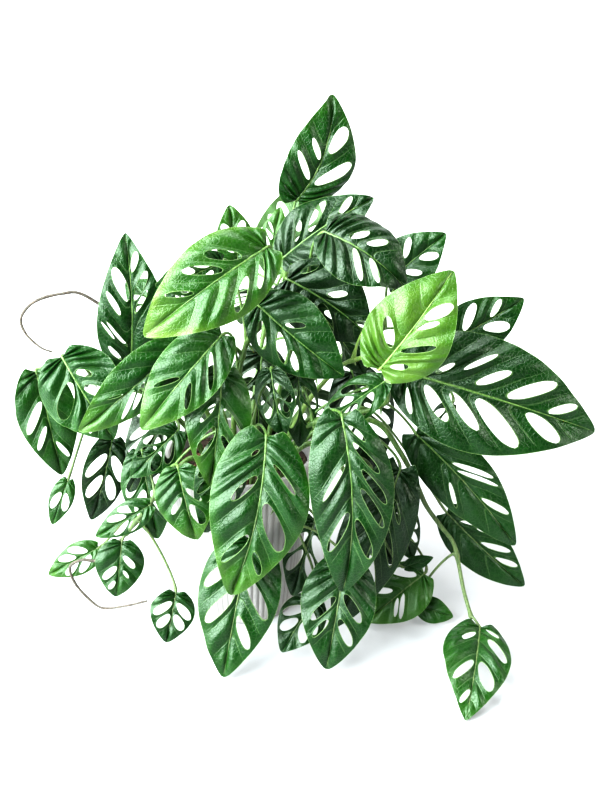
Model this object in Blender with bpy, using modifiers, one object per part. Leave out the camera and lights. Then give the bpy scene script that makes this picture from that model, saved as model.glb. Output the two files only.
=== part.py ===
"""Monstera adansonii in a fluted pot, in metres, with +Z up.

The origin is the middle of the pot's flat underside, on the surface that it stands on. The pot is
full of soil, and each leafy stem is one solid that stands in a plain hole in the soil: a stem, its
petioles and its holed leaves, joined by a Boolean union. Leaves that show from the front are placed
by the pixel where they are seen and by how far they lie behind the pot's axis.
"""

import math
import random
from typing import NamedTuple

import bmesh
import bpy
from mathutils import Vector
from mathutils.geometry import delaunay_2d_cdt, interpolate_bezier

MM = 0.001

# The pot and what fills it
POT_HEIGHT = 0.150
POT_RIM_RADIUS = 0.0655
POT_BASE_RADIUS = 0.0485
POT_WALL = 0.0045
POT_FLOOR = 0.008
POT_EDGE = 0.0012
FLUTES = 60
FLUTE_DEPTH = 0.0008
SOIL_TOP = 0.137
SOIL_RELIEF = 0.0015
SOIL_SIDES = 24
HOLE_EDGES = 8
GAP = 0.0003

# Stems, petioles and roots
STEM_RADIUS = 0.0026
PETIOLE_RADIUS = 0.0012
ROOT_RADIUS = 0.0013
STEM_DEPTH = 0.012
PETIOLE_STEPS = 2
PETIOLE_REACH = 0.09

# Blades
BLADE_THICKNESS = 0.0007
LOWEST_BLADE = 0.0010
OUTLINE_STEPS = 6
SMALL_OUTLINE_STEPS = 5
SMALL_WIDTH = 60
HOLE_SIDES = 5
SMALL_HOLE_SIDES = 4
SMALL_HOLE = 0.012
MIDRIB_POINTS = (0.30, 0.66)
HOLE_MARGIN = 0.13
HOLE_BRIDGE = 0.016
SCRAP_VOLUME = 20e-9

# Where the plant was seen from
VIEW_PITCH = math.radians(25)
VIEW_DISTANCE = 0.85
VIEW_FOCAL = 977
VIEW_MIDDLE = (300, 400)
VIEW_TARGET = Vector((0.052, 0.018, 0.189))
VIEW_AHEAD = Vector((0, math.cos(VIEW_PITCH), -math.sin(VIEW_PITCH)))
VIEW_UP = Vector((0, math.sin(VIEW_PITCH), math.cos(VIEW_PITCH)))
VIEW_FROM = VIEW_TARGET - VIEW_DISTANCE * VIEW_AHEAD

# Half length across the blade and half width along it, of each size of hole
TINY = (0.0026, 0.0016)
SLIM = (0.0090, 0.0025)
SMALL = (0.0052, 0.0028)
MID = (0.0082, 0.0042)
BIG = (0.0112, 0.0056)
HUGE = (0.0140, 0.0076)

DEEP_GREEN = (0.045, 0.165, 0.040, 1)
LIME_GREEN = (0.250, 0.480, 0.075, 1)
POT_WHITE = (0.820, 0.800, 0.765, 1)
SOIL_BROWN = (0.070, 0.045, 0.028, 1)


def sight(x, y):
    """The direction in which pixel (x, y) is seen."""
    right = (x - VIEW_MIDDLE[0]) / VIEW_FOCAL
    up = (VIEW_MIDDLE[1] - y) / VIEW_FOCAL
    return VIEW_AHEAD + right * Vector((1, 0, 0)) + up * VIEW_UP


def seen(x, y, behind):
    """The point that pixel (x, y) shows, on the upright plane this many mm behind the pot's axis."""
    ray = sight(x, y)
    return VIEW_FROM + ray * ((behind * MM - VIEW_FROM.y) / ray.y)


def at(x, y, z):
    return Vector((x, y, z)) * MM


class Leaf(NamedTuple):
    """A blade from its heel, where the petiole meets it, to its tip. Width is in mm."""

    heel: Vector
    tip: Vector
    width: float
    holes: tuple = ()
    bays: int = 0
    roll: float = 0
    fold: float = 14
    arch: float = 0.07
    sway: float = 0
    facing: Vector = None


class Vine(NamedTuple):
    """A leafy stem: the points its stem runs through in mm, its leaves from root to end, its roots."""

    name: str
    stem: tuple
    leaves: tuple
    roots: tuple = ()
    colour: tuple = DEEP_GREEN
    first_leaf: float = 0.35


VINES = (
    Vine(
        "vine_crown",
        ((8, 14), (12, 18, 170), (24, 24, 215), (34, 26, 262), (40, 26, 300), (46, 28, 332)),
        (
            Leaf(seen(238, 262, 38), seen(229, 204, 48), 34, bays=2, roll=10),
            Leaf(seen(270, 262, 45), seen(281, 206, 58), 26, bays=2, roll=-10),
            Leaf(
                seen(283, 258, 14), seen(375, 198, 18), 54, roll=-22, arch=0.1,
                holes=((322, 213, MID), (343, 226, MID), (299, 244, SMALL), (350, 204, SMALL)),
            ),
            Leaf(
                seen(297, 200, 30), seen(332, 92, 34), 57, roll=18, sway=-0.09,
                holes=((340, 135, BIG), (335, 171, BIG), (315, 150, SMALL), (308, 178, SLIM)),
            ),
        ),
        first_leaf=0.6,
    ),
    Vine(
        "vine_dusk",
        ((20, 2), (28, 6, 175), (40, 8, 225), (52, 0, 270), (58, -6, 304)),
        (
            Leaf(seen(262, 352, 22), seen(258, 452, 12), 58, bays=3, roll=8),
            Leaf(seen(310, 300, 4), seen(366, 376, -8), 40, bays=2, roll=-15),
            Leaf(
                seen(287, 279, -14), seen(372, 340, -26), 66, roll=12, sway=0.06,
                holes=((324, 302, BIG), (358, 324, MID), (310, 268, SMALL), (338, 292, SMALL)),
            ),
            Leaf(
                seen(325, 232, -26), seen(407, 290, -44), 60, roll=-28, arch=0.14, fold=20,
                holes=((352, 262, SLIM), (370, 276, SLIM), (372, 250, SMALL), (345, 244, SMALL)),
            ),
        ),
        first_leaf=0.55,
    ),
    Vine(
        "vine_pale",
        ((-2, -8), (-4, -14, 180), (2, -22, 230), (10, -30, 262), (20, -34, 276)),
        (
            Leaf(
                seen(222, 335, -60), seen(140, 432, -84), 52, roll=10,
                holes=((191, 396, SMALL), (213, 370, SLIM), (178, 380, SMALL)),
            ),
            Leaf(
                seen(180, 345, -50), seen(77, 433, -74), 44, roll=-14,
                holes=((141, 387, SMALL), (128, 404, SMALL), (120, 392, TINY)),
            ),
            Leaf(seen(222, 262, -22), seen(154, 286, -34), 38, bays=2, roll=-30),
            Leaf(
                seen(258, 305, -38), seen(345, 377, -54), 60, roll=14,
                holes=((262, 333, MID), (283, 346, MID), (296, 364, SMALL), (288, 324, SMALL)),
            ),
            Leaf(
                seen(267, 247, -56), seen(142, 338, -84), 64, roll=8, arch=0.12,
                holes=(
                    (245, 261, MID), (217, 273, MID), (215, 285, SMALL), (262, 273, SLIM),
                    (243, 297, MID), (207, 315, BIG), (190, 296, SMALL),
                ),
            ),
        ),
        first_leaf=0.5,
    ),
    Vine(
        "vine_lime",
        ((32, -14), (44, -16, 175), (62, -20, 210), (84, -28, 240), (104, -44, 256)),
        (
            Leaf(seen(380, 318, -52), seen(394, 288, -50), 9, roll=40, fold=35),
            Leaf(
                seen(380, 369, -74), seen(454, 269, -58), 66, roll=-6, arch=0.1, sway=-0.03,
                holes=(
                    (391, 334, MID), (438, 313, BIG), (415, 328, SMALL), (416, 350, SLIM),
                    (400, 367, SMALL),
                ),
            ),
        ),
        colour=LIME_GREEN,
        first_leaf=0.8,
    ),
    Vine(
        "vine_right_upper",
        ((34, 10), (48, 12, 175), (76, 10, 214), (104, 6, 244), (122, 4, 262)),
        (
            Leaf(seen(352, 372, 30), seen(376, 470, 20), 58, bays=3, roll=-8),
            Leaf(seen(452, 404, -8), seen(428, 432, -10), 17, bays=1),
            Leaf(
                seen(449, 342, 2), seen(525, 298, -2), 47, roll=12,
                holes=((469, 315, MID), (492, 325, BIG), (497, 304, SMALL)),
            ),
            Leaf(
                seen(388, 282, 6), seen(447, 233, 2), 46, roll=-10,
                holes=((397, 246, MID), (411, 236, SMALL), (421, 256, MID), (411, 272, SMALL)),
            ),
        ),
        first_leaf=0.6,
    ),
    Vine(
        "vine_right",
        ((40, -4), (54, -6, 168), (84, -10, 186), (112, -16, 196), (124, -22, 206)),
        (
            Leaf(
                seen(447, 513, 0), seen(525, 587, -20), 48, roll=8,
                holes=((459, 521, SMALL), (479, 541, MID), (502, 558, MID), (498, 530, SMALL)),
            ),
            Leaf(
                seen(416, 434, -16), seen(516, 547, -42), 54, roll=10, sway=0.04,
                holes=((455, 467, SLIM), (483, 470, MID), (481, 496, BIG), (452, 490, SMALL)),
            ),
            Leaf(
                seen(405, 372, -36), seen(596, 432, -48), 96, roll=-6, arch=0.09,
                holes=(
                    (441, 370, SMALL), (475, 363, SLIM), (488, 379, MID), (530, 389, BIG),
                    (558, 410, MID), (405, 400, SLIM), (431, 402, BIG), (457, 407, BIG),
                    (497, 432, HUGE), (540, 430, HUGE),
                ),
            ),
        ),
        first_leaf=0.55,
    ),
    Vine(
        "vine_trailing",
        (
            (40, -18), (56, -24, 172), (86, -30, 194), (116, -34, 192), (135, -34, 166),
            (149, -30, 138), (160, -30, 112), (173, -32, 93), (185, -38, 78), (190, -46, 59),
            (193, -60, 44), (197, -80, 32),
        ),
        (
            Leaf(seen(418, 605, -42), seen(454, 617, -50), 24, roll=10),
            Leaf(
                at(203, -90, 29), at(181, -170, 2), 56, facing=Vector((0.1, -0.3, 1)), arch=0.1,
                holes=(
                    (472, 637, SMALL), (469, 670, MID), (468, 697, SMALL), (491, 636, SMALL),
                    (495, 656, MID), (488, 692, BIG),
                ),
            ),
        ),
        first_leaf=0.6,
    ),
    Vine(
        "vine_front_left",
        ((4, -30), (6, -38, 172), (10, -48, 190), (18, -56, 200)),
        (
            Leaf(
                seen(222, 372, -62), seen(210, 488, -84), 52, roll=-12,
                holes=((203, 440, BIG), (229, 419, MID), (226, 446, SMALL), (206, 410, SMALL)),
            ),
            Leaf(seen(271, 370, -56), seen(285, 438, -68), 34, bays=2, roll=25),
            Leaf(
                seen(266, 437, -78), seen(230, 596, -112), 78, fold=16, arch=0.09, sway=0.05,
                holes=(
                    (260, 449, TINY), (248, 482, MID), (244, 537, BIG), (285, 475, SLIM),
                    (278, 532, HUGE), (260, 568, SMALL),
                ),
            ),
        ),
        first_leaf=0.6,
    ),
    Vine(
        "vine_front_right",
        ((26, -32), (36, -40, 172), (54, -48, 194), (70, -54, 206)),
        (
            Leaf(seen(384, 382, -56), seen(315, 433, -66), 34, bays=2, roll=20),
            Leaf(seen(298, 373, -42), seen(299, 448, -52), 32, bays=2, roll=-15),
            Leaf(
                seen(400, 470, -44), seen(334, 629, -66), 60, roll=-10,
                holes=((388, 540, MID), (372, 585, MID), (396, 505, SMALL)),
            ),
            Leaf(
                seen(342, 418, -82), seen(342, 594, -106), 66, fold=20, arch=0.09, sway=0.055,
                holes=(
                    (340, 467, SLIM), (335, 530, BIG), (355, 429, SMALL), (366, 453, MID),
                    (374, 480, MID), (374, 503, MID), (369, 543, BIG),
                ),
            ),
        ),
        first_leaf=0.6,
    ),
    Vine(
        "vine_low_front",
        ((12, -42), (16, -54, 168), (24, -68, 162), (34, -76, 140), (44, -76, 118)),
        (
            Leaf(
                seen(250, 540, -80), seen(223, 679, -122), 68, roll=8, arch=0.04,
                holes=((222, 570, BIG), (216, 610, BIG), (252, 585, BIG), (242, 625, BIG)),
            ),
            Leaf(seen(315, 520, -58), seen(292, 597, -78), 38, bays=2),
            Leaf(seen(315, 600, -80), seen(281, 653, -106), 40, bays=2, roll=10),
            Leaf(
                seen(345, 560, -84), seen(326, 671, -118), 62, roll=-6,
                holes=((330, 600, MID), (352, 605, MID), (345, 630, MID), (320, 625, SMALL)),
            ),
        ),
        first_leaf=0.62,
    ),
    Vine(
        "vine_low_right",
        ((38, -30), (50, -32, 166), (66, -32, 172), (86, -28, 150), (102, -26, 112)),
        (
            Leaf(seen(372, 470, 4), seen(392, 566, -6), 50, bays=2, roll=6),
            Leaf(seen(396, 500, -26), seen(412, 560, -32), 30, bays=2),
            Leaf(seen(405, 567, -36), seen(434, 557, -34), 13),
            Leaf(
                seen(424, 574, -40), seen(366, 622, -50), 50, roll=6,
                holes=((406, 572, MID), (404, 592, MID), (398, 604, SMALL), (385, 590, SMALL)),
            ),
        ),
        first_leaf=0.75,
    ),
    Vine(
        "vine_left_tall",
        ((-18, 12), (-26, 14, 172), (-44, 14, 206), (-62, 10, 222), (-74, 8, 228)),
        (
            Leaf(at(-60, 30, 262), at(-98, 52, 286), 40, bays=2, facing=Vector((-0.4, -0.3, 1))),
            Leaf(
                seen(130, 370, -2), seen(125, 232, 10), 58, roll=-8, sway=-0.04,
                holes=(
                    (114, 270, BIG), (112, 296, SMALL), (101, 317, SMALL), (120, 334, MID),
                    (116, 351, SMALL), (134, 262, MID), (142, 284, MID), (139, 304, SMALL),
                ),
            ),
        ),
        roots=(
            (at(-74, 8, 228), at(-88, 18, 252), seen(86, 296, 12), seen(60, 294, 6), seen(34, 302, 0),
             seen(21, 318, -2), seen(26, 334, -4), seen(40, 347, -6), seen(52, 352, -6)),
        ),
        first_leaf=0.6,
    ),
    Vine(
        "vine_left_far",
        ((-30, -4), (-42, -8, 172), (-72, -12, 206), (-104, -14, 218), (-132, -14, 222)),
        (
            Leaf(seen(184, 380, -10), seen(128, 494, -24), 50, bays=3, roll=6),
            Leaf(seen(178, 430, -34), seen(130, 478, -50), 34, bays=2),
            Leaf(seen(112, 440, -24), seen(91, 521, -40), 40, bays=2, roll=-20),
            Leaf(seen(68, 480, -12), seen(52, 525, -20), 21, bays=1),
            Leaf(
                seen(62, 357, -32), seen(115, 440, -54), 68, roll=14,
                holes=((69, 397, BIG), (72, 372, SMALL), (90, 388, MID), (96, 412, SMALL)),
            ),
            Leaf(
                seen(36, 372, -8), seen(62, 476, -22), 50, roll=-6,
                holes=(
                    (32, 388, SLIM), (22, 402, SMALL), (31, 420, MID), (40, 437, SMALL),
                    (61, 447, SMALL),
                ),
            ),
        ),
        first_leaf=0.5,
    ),
    Vine(
        "vine_left_low",
        ((-24, -28), (-38, -42, 164), (-58, -50, 146), (-78, -48, 118), (-96, -44, 92)),
        (
            Leaf(seen(232, 436, -66), seen(204, 534, -71), 42, bays=3, roll=-6),
            Leaf(seen(142, 452, -30), seen(158, 540, -44), 44, bays=2, roll=10),
            Leaf(
                seen(178, 468, -66), seen(197, 541, -78), 48, roll=12,
                holes=((198, 512, BIG), (180, 500, SMALL), (190, 490, SMALL)),
            ),
            Leaf(seen(150, 505, -62), seen(95, 537, -72), 26, bays=2, fold=24),
            Leaf(seen(176, 593, -74), seen(166, 643, -92), 38, bays=2, roll=-8),
            Leaf(seen(98, 548, -22), seen(48, 575, -30), 29, bays=2),
            Leaf(
                seen(122, 542, -48), seen(116, 597, -62), 42,
                holes=((106, 574, SMALL), (129, 560, SMALL), (126, 572, TINY), (108, 587, TINY)),
            ),
        ),
        roots=(
            (at(-96, -44, 92), seen(101, 559, -40), seen(82, 560, -40), seen(70, 567, -40),
             seen(75, 583, -42), seen(89, 599, -44), seen(103, 608, -46), seen(125, 606, -52),
             seen(147, 601, -60)),
        ),
        first_leaf=0.5,
    ),
    Vine(
        "vine_back_left",
        ((-12, 34), (-20, 44, 170), (-42, 62, 198), (-62, 76, 206)),
        (
            Leaf(at(-36, 60, 236), at(-70, 104, 276), 60, bays=2, facing=Vector((-0.3, 0.7, 0.8))),
            Leaf(at(-60, 92, 190), at(-84, 148, 112), 74, bays=3, facing=Vector((-0.3, 1, 0.5))),
            Leaf(at(-88, 64, 214), at(-152, 96, 166), 68, bays=3, facing=Vector((-0.6, 0.3, 1))),
        ),
        first_leaf=0.6,
    ),
    Vine(
        "vine_back_middle",
        ((8, 38), (10, 50, 172), (16, 66, 212), (22, 74, 246)),
        (
            Leaf(at(-8, 84, 176), at(-24, 132, 86), 76, bays=3, facing=Vector((-0.1, 1, 0.4))),
            Leaf(at(18, 94, 262), at(-6, 148, 210), 66, bays=3, facing=Vector((-0.2, 0.8, 0.8))),
            Leaf(at(36, 90, 280), at(56, 118, 362), 66, bays=3, facing=Vector((0.1, 1, -0.1))),
        ),
        first_leaf=0.6,
    ),
    Vine(
        "vine_back_right",
        ((34, 30), (44, 40, 168), (66, 54, 196), (90, 62, 212)),
        (
            Leaf(at(52, 78, 170), at(68, 128, 78), 74, bays=3, facing=Vector((0.2, 1, 0.4))),
            Leaf(at(82, 86, 236), at(112, 138, 184), 74, bays=3, facing=Vector((0.3, 0.8, 0.8))),
            Leaf(at(118, 62, 222), at(196, 84, 168), 72, bays=3, facing=Vector((0.5, 0.4, 1))),
        ),
        first_leaf=0.6,
    ),
)


def margin(u):
    """A flat point of the blade's edge, as fractions of length and half width, from lobe to tip."""
    along = -0.06 + 1.06 * u**1.12
    across = math.sin(math.pi * (0.08 + 0.92 * min(u, 1) ** 0.95)) * (1 - 0.15 * u**3)
    return along, max(across, 0) ** 0.82


def blade_point(u, v):
    """A flat point of the blade: u picks the side vein, and v runs out along it from the midrib."""
    along, across = margin(u)
    rib = u**2.8
    return Vector((rib + (along - rib) * abs(v) ** 1.15, across * v))


def vein_through(along, across):
    """The u and v of a flat point of the blade."""
    steps = 160
    found = (1.0, 0.5, 0.5)
    for i in range(1, steps):
        u = i / steps
        v = abs(across) / max(margin(u)[1], 1e-6)
        if v <= 1:
            miss = abs(blade_point(u, v).x - along)
            found = min(found, (miss, u, v))
    return found[1], found[2]


class Blade:
    """One leaf blade: its frame in space, its holes, and the formula that bends it."""

    def __init__(self, leaf, seed):
        self.leaf = leaf
        self.random = random.Random(seed)
        self.length = (leaf.tip - leaf.heel).length
        self.half = leaf.width * MM / 2
        self.ahead = (leaf.tip - leaf.heel).normalized()
        facing = leaf.facing or VIEW_FROM - (leaf.heel + leaf.tip) / 2
        face = (facing - facing.dot(self.ahead) * self.ahead).normalized()
        side = face.cross(self.ahead)
        turn = math.radians(leaf.roll)
        self.side = side * math.cos(turn) + face * math.sin(turn)
        self.face = self.ahead.cross(self.side)
        self.edge_steps = SMALL_OUTLINE_STEPS if leaf.width < SMALL_WIDTH else OUTLINE_STEPS
        self.phase = self.random.uniform(0, math.tau)
        self.holes = self.separate(self.seen_holes() + self.bay_holes())

    def seen_holes(self):
        """The holes that the photo shows: each is (side, u, v, du, dv)."""
        holes = []
        for x, y, (reach, gape) in self.leaf.holes:
            ray = sight(x, y)
            away = (self.leaf.heel - VIEW_FROM).dot(self.face) / ray.dot(self.face)
            spot = VIEW_FROM + ray * away - self.leaf.heel
            along = spot.dot(self.ahead) / self.length
            bow = self.leaf.sway * self.length * 4 * along * (1 - along)
            across = (spot.dot(self.side) - bow) / self.half
            holes.append(self.hole(along, across, reach, gape))
        return holes

    def bay_holes(self):
        """Holes in regular bays on both sides of the midrib, for a leaf that shows less."""
        holes = []
        for side in (-1, 1):
            for bay in range(self.leaf.bays):
                along = 0.16 + 0.56 * (bay + 0.5) / self.leaf.bays + self.random.uniform(-0.02, 0.02)
                gape = 0.16 * self.length / self.leaf.bays
                holes.append(self.hole(along, side * 0.45, 0.42 * self.half, min(gape, 0.0055)))
        return holes

    def hole(self, along, across, reach, gape):
        along = min(max(along, 0.05), 0.86)
        u, v = vein_through(along, across)
        step = 0.01
        along_per_u = (blade_point(u + step, v).x - blade_point(u - step, v).x) / (2 * step)
        across_per_v = margin(u)[1] * self.half
        dv = min(reach / across_per_v, (1 - 2 * HOLE_MARGIN) / 2)
        v = min(max(v, HOLE_MARGIN + dv), 1 - HOLE_MARGIN - dv)
        return [math.copysign(1, across), u, v, gape / self.length / along_per_u, dv]

    def separate(self, holes):
        """Narrows neighbouring holes until a bridge of leaf stands between them."""
        for i, one in enumerate(holes):
            for other in holes[i + 1 :]:
                apart = abs(one[1] - other[1])
                beside = abs(one[2] - other[2]) < one[4] + other[4] + 0.06
                if one[0] == other[0] and beside and apart < one[3] + other[3] + HOLE_BRIDGE:
                    share = max(apart - HOLE_BRIDGE, 0) / (one[3] + other[3])
                    one[3] *= share
                    other[3] *= share
        return [hole for hole in holes if hole[3] * self.length > 0.0007]

    def outline(self):
        count = self.edge_steps
        steps = [(i / count) ** 0.85 for i in range(count)]
        left = [blade_point(u, -1) for u in steps]
        right = [blade_point(u, 1) for u in reversed(steps)]
        return [Vector((0, 0)), *left, Vector((1, 0)), *right]

    def hole_outline(self, hole):
        side, u, v, du, dv = hole
        reach = dv * margin(u)[1] * self.half
        sides = SMALL_HOLE_SIDES if reach < SMALL_HOLE else HOLE_SIDES
        turns = [math.tau * (i + 0.25) / sides for i in range(sides)]
        return [blade_point(u + du * math.cos(t), side * v + dv * math.sin(t)) for t in turns]

    def bend(self, along, across):
        """Arches the flat blade along, folds it up beside the midrib and waves its margin."""
        leaf = self.leaf
        part = min(max(along, 0), 1)
        hump = 4 * part * (1 - part)
        rise = math.tan(math.radians(leaf.fold)) * self.half
        lift = leaf.arch * self.length * hump
        lift += rise * (abs(across) - 1.3 * across**2)
        lift += 0.07 * self.half * across**2 * math.sin(9 * part + self.phase + across)
        aside = across * self.half + leaf.sway * self.length * hump
        flat = leaf.heel + self.ahead * along * self.length
        point = flat + self.side * aside + self.face * lift
        point.z = max(point.z, LOWEST_BLADE)
        return point

    def mesh_object(self):
        """Fills the outline round its holes with triangles, bends them and thickens the sheet."""
        loops = [self.outline()] + [self.hole_outline(hole) for hole in self.holes]
        points = [point for loop in loops for point in loop]
        faces, first = [], 0
        for loop in loops:
            faces.append(list(range(first, first + len(loop))))
            first += len(loop)
        ribs = [Vector((along, 0)) for along in MIDRIB_POINTS]
        chain = [0, *range(len(points), len(points) + len(ribs)), self.edge_steps + 1]
        edges = list(zip(chain, chain[1:]))
        filled = delaunay_2d_cdt(points + ribs, edges, faces, 1, 1e-6, True)
        flat, triangles, owners = filled[0], filled[2], filled[5]
        mesh = bmesh.new()
        corners = [mesh.verts.new(self.bend(point.x, point.y)) for point in flat]
        for triangle, owner in zip(triangles, owners):
            if owner == [0]:
                mesh.faces.new([corners[i] for i in triangle])
        bmesh.ops.delete(mesh, geom=[v for v in mesh.verts if not v.link_faces], context="VERTS")
        bmesh.ops.solidify(mesh, geom=mesh.faces[:], thickness=BLADE_THICKNESS)
        bmesh.ops.recalc_face_normals(mesh, faces=mesh.faces[:])
        return object_of(mesh, "blade")


def object_of(mesh, name):
    data = bpy.data.meshes.new(name)
    mesh.to_mesh(data)
    mesh.free()
    return bpy.data.objects.new(name, data)


def tube(path, radius, resolution=1):
    """A round rod along a path of points, closed at both ends, as a mesh object."""
    curve = bpy.data.curves.new("rod", "CURVE")
    curve.dimensions = "3D"
    curve.bevel_depth = radius
    curve.bevel_resolution = resolution
    curve.use_fill_caps = True
    spline = curve.splines.new("POLY")
    spline.points.add(len(path) - 1)
    for place, point in zip(spline.points, path):
        place.co = (*point, 1)
    guide = bpy.data.objects.new("rod", curve)
    bpy.context.scene.collection.objects.link(guide)
    bpy.context.view_layer.update()
    data = bpy.data.meshes.new_from_object(guide.evaluated_get(bpy.context.evaluated_depsgraph_get()))
    bpy.data.objects.remove(guide)
    mesh = bmesh.new()
    mesh.from_mesh(data)
    bmesh.ops.remove_doubles(mesh, verts=mesh.verts, dist=1e-6)
    bmesh.ops.recalc_face_normals(mesh, faces=mesh.faces[:])
    return object_of(mesh, "rod")


def smooth(points, steps):
    """A Catmull-Rom curve through the points, with this many steps between each pair."""
    ends = [2 * points[0] - points[1], *points, 2 * points[-1] - points[-2]]
    path = []
    for a, b, c, d in zip(ends, ends[1:], ends[2:], ends[3:]):
        for i in range(steps):
            t = i / steps
            path.append(
                0.5 * (2 * b + (c - a) * t + (2 * a - 5 * b + 4 * c - d) * t**2
                       + (3 * b - 3 * c + d - a) * t**3)
            )
    return path + [points[-1]]


def stem_path(vine):
    """The stem's middle line: straight up out of its hole in the soil, then through its points."""
    (x, y), *others = vine.stem
    foot = at(x, y, 0)
    foot.z = SOIL_TOP - STEM_DEPTH + GAP
    collar = Vector((foot.x, foot.y, SOIL_TOP + 0.006))
    return [foot] + smooth([collar] + [at(*point) for point in others], 2)


def petiole(start, blade):
    """A petiole from its node on the stem to the heel, and a little way in under the midrib."""
    heel = blade.leaf.heel
    reach = min((heel - start).length * 0.45, PETIOLE_REACH)
    lift = start + Vector((0, 0, 1)) * reach * 0.7 + (heel - start) * 0.15
    back = heel - blade.ahead * reach * 0.35 - blade.face * reach * 0.55
    path = interpolate_bezier(start, lift, back, heel, PETIOLE_STEPS + 1)
    inside = blade.bend(0.07, 0)
    return tube([Vector(point) for point in path] + [inside], PETIOLE_RADIUS, 0)


def fuse(name, pieces, colour, parts):
    """Joins the pieces into one solid by a Boolean union, and removes them."""
    operands = bpy.data.collections.new(name + "_pieces")
    bpy.context.scene.collection.children.link(operands)
    body, *others = pieces
    body.name = name
    parts.objects.link(body)
    for other in others:
        operands.objects.link(other)
    union = body.modifiers.new("union", "BOOLEAN")
    union.operation = "UNION"
    union.operand_type = "COLLECTION"
    union.collection = operands
    union.solver = "EXACT"
    bpy.context.view_layer.update()
    joined = bpy.data.meshes.new_from_object(body.evaluated_get(bpy.context.evaluated_depsgraph_get()))
    drop_scraps(joined)
    body.modifiers.clear()
    body.data = joined
    body.data.materials.clear()
    body.data.materials.append(material(name, colour, 0.4))
    for other in others:
        bpy.data.objects.remove(other)
    bpy.data.collections.remove(operands)


def drop_scraps(data):
    """Fills hollows that the union sealed, and drops crumbs, by removing their loose shells."""
    mesh = bmesh.new()
    mesh.from_mesh(data)
    left = set(mesh.faces)
    while left:
        shell, edge = set(), [left.pop()]
        while edge:
            face = edge.pop()
            shell.add(face)
            near = {other for line in face.edges for other in line.link_faces} & left
            left -= near
            edge.extend(near)
        volume = sum(
            a.vert.co.dot(b.vert.co.cross(c.vert.co)) / 6
            for face in shell
            for a, b, c in ((face.loops[0], *pair) for pair in zip(face.loops[1:], face.loops[2:]))
        )
        if volume < SCRAP_VOLUME:
            bmesh.ops.delete(mesh, geom=list(shell), context="FACES")
    mesh.to_mesh(data)
    mesh.free()


def make_vine(vine, parts):
    """One leafy stem: its stem, petioles, blades and aerial roots as a single solid."""
    path = stem_path(vine)
    pieces = [tube(path, STEM_RADIUS)]
    last = len(path) - 1
    for i, leaf in enumerate(vine.leaves):
        share = vine.first_leaf + (1 - vine.first_leaf) * (i + 1) / len(vine.leaves)
        blade = Blade(leaf, f"{vine.name} {i}")
        pieces.append(petiole(path[min(round(share * last), last)], blade))
        pieces.append(blade.mesh_object())
    for root in vine.roots:
        pieces.append(tube(smooth(list(root), 2), ROOT_RADIUS, 0))
    fuse(vine.name, pieces, vine.colour, parts)


def material(name, colour, roughness):
    finish = bpy.data.materials.new(name)
    finish.use_nodes = True
    shader = finish.node_tree.nodes["Principled BSDF"]
    shader.inputs["Base Color"].default_value = colour
    shader.inputs["Roughness"].default_value = roughness
    return finish


def turned(profile, name, sides, parts):
    """A solid of revolution about Z from an (x, z) profile."""
    mesh = bmesh.new()
    corners = [mesh.verts.new((x, 0, z)) for x, z in profile]
    for pair in zip(corners, corners[1:]):
        mesh.edges.new(pair)
    body = object_of(mesh, name)
    parts.objects.link(body)
    screw = body.modifiers.new("turn", "SCREW")
    screw.steps = screw.render_steps = sides
    screw.use_merge_vertices = True
    screw.merge_threshold = 0.00001
    screw.use_normal_calculate = True
    bpy.context.view_layer.update()
    body.data = bpy.data.meshes.new_from_object(
        body.evaluated_get(bpy.context.evaluated_depsgraph_get())
    )
    body.modifiers.clear()
    return body


def pot_inside(z):
    """The radius of the pot's inner wall at this height."""
    foot = POT_BASE_RADIUS - POT_WALL
    share = (z - POT_FLOOR) / (POT_HEIGHT - POT_FLOOR)
    return foot + (POT_RIM_RADIUS - POT_WALL - foot) * share


def make_pot(parts):
    """The tapered pot: a turned shell whose outer wall is fluted between its foot and its rim."""
    band = 0.004
    flare = (POT_RIM_RADIUS - POT_BASE_RADIUS) / POT_HEIGHT
    profile = (
        (0, POT_FLOOR),
        (pot_inside(POT_FLOOR), POT_FLOOR),
        (pot_inside(POT_HEIGHT), POT_HEIGHT),
        (POT_RIM_RADIUS - POT_EDGE, POT_HEIGHT),
        (POT_RIM_RADIUS, POT_HEIGHT - POT_EDGE),
        (POT_RIM_RADIUS - flare * band, POT_HEIGHT - band),
        (POT_BASE_RADIUS + flare * band, band),
        (POT_BASE_RADIUS - POT_EDGE / 2, 0),
        (0, 0),
    )
    pot = turned(profile, "pot", 2 * FLUTES, parts)
    fluted = {round(POT_HEIGHT - band, 5), round(band, 5)}
    for vertex in pot.data.vertices:
        radius = math.hypot(vertex.co.x, vertex.co.y)
        if round(vertex.co.z, 5) in fluted and radius > POT_BASE_RADIUS - POT_WALL / 2:
            angle = math.atan2(vertex.co.y, vertex.co.x)
            scale = 1 - FLUTE_DEPTH / radius * (0.5 - 0.5 * math.cos(FLUTES * angle))
            vertex.co.x *= scale
            vertex.co.y *= scale
    pot.data.materials.append(material("pot", POT_WHITE, 0.6))
    pot.data.shade_smooth()
    pot.data.set_sharp_from_angle(angle=math.radians(30))


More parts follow.
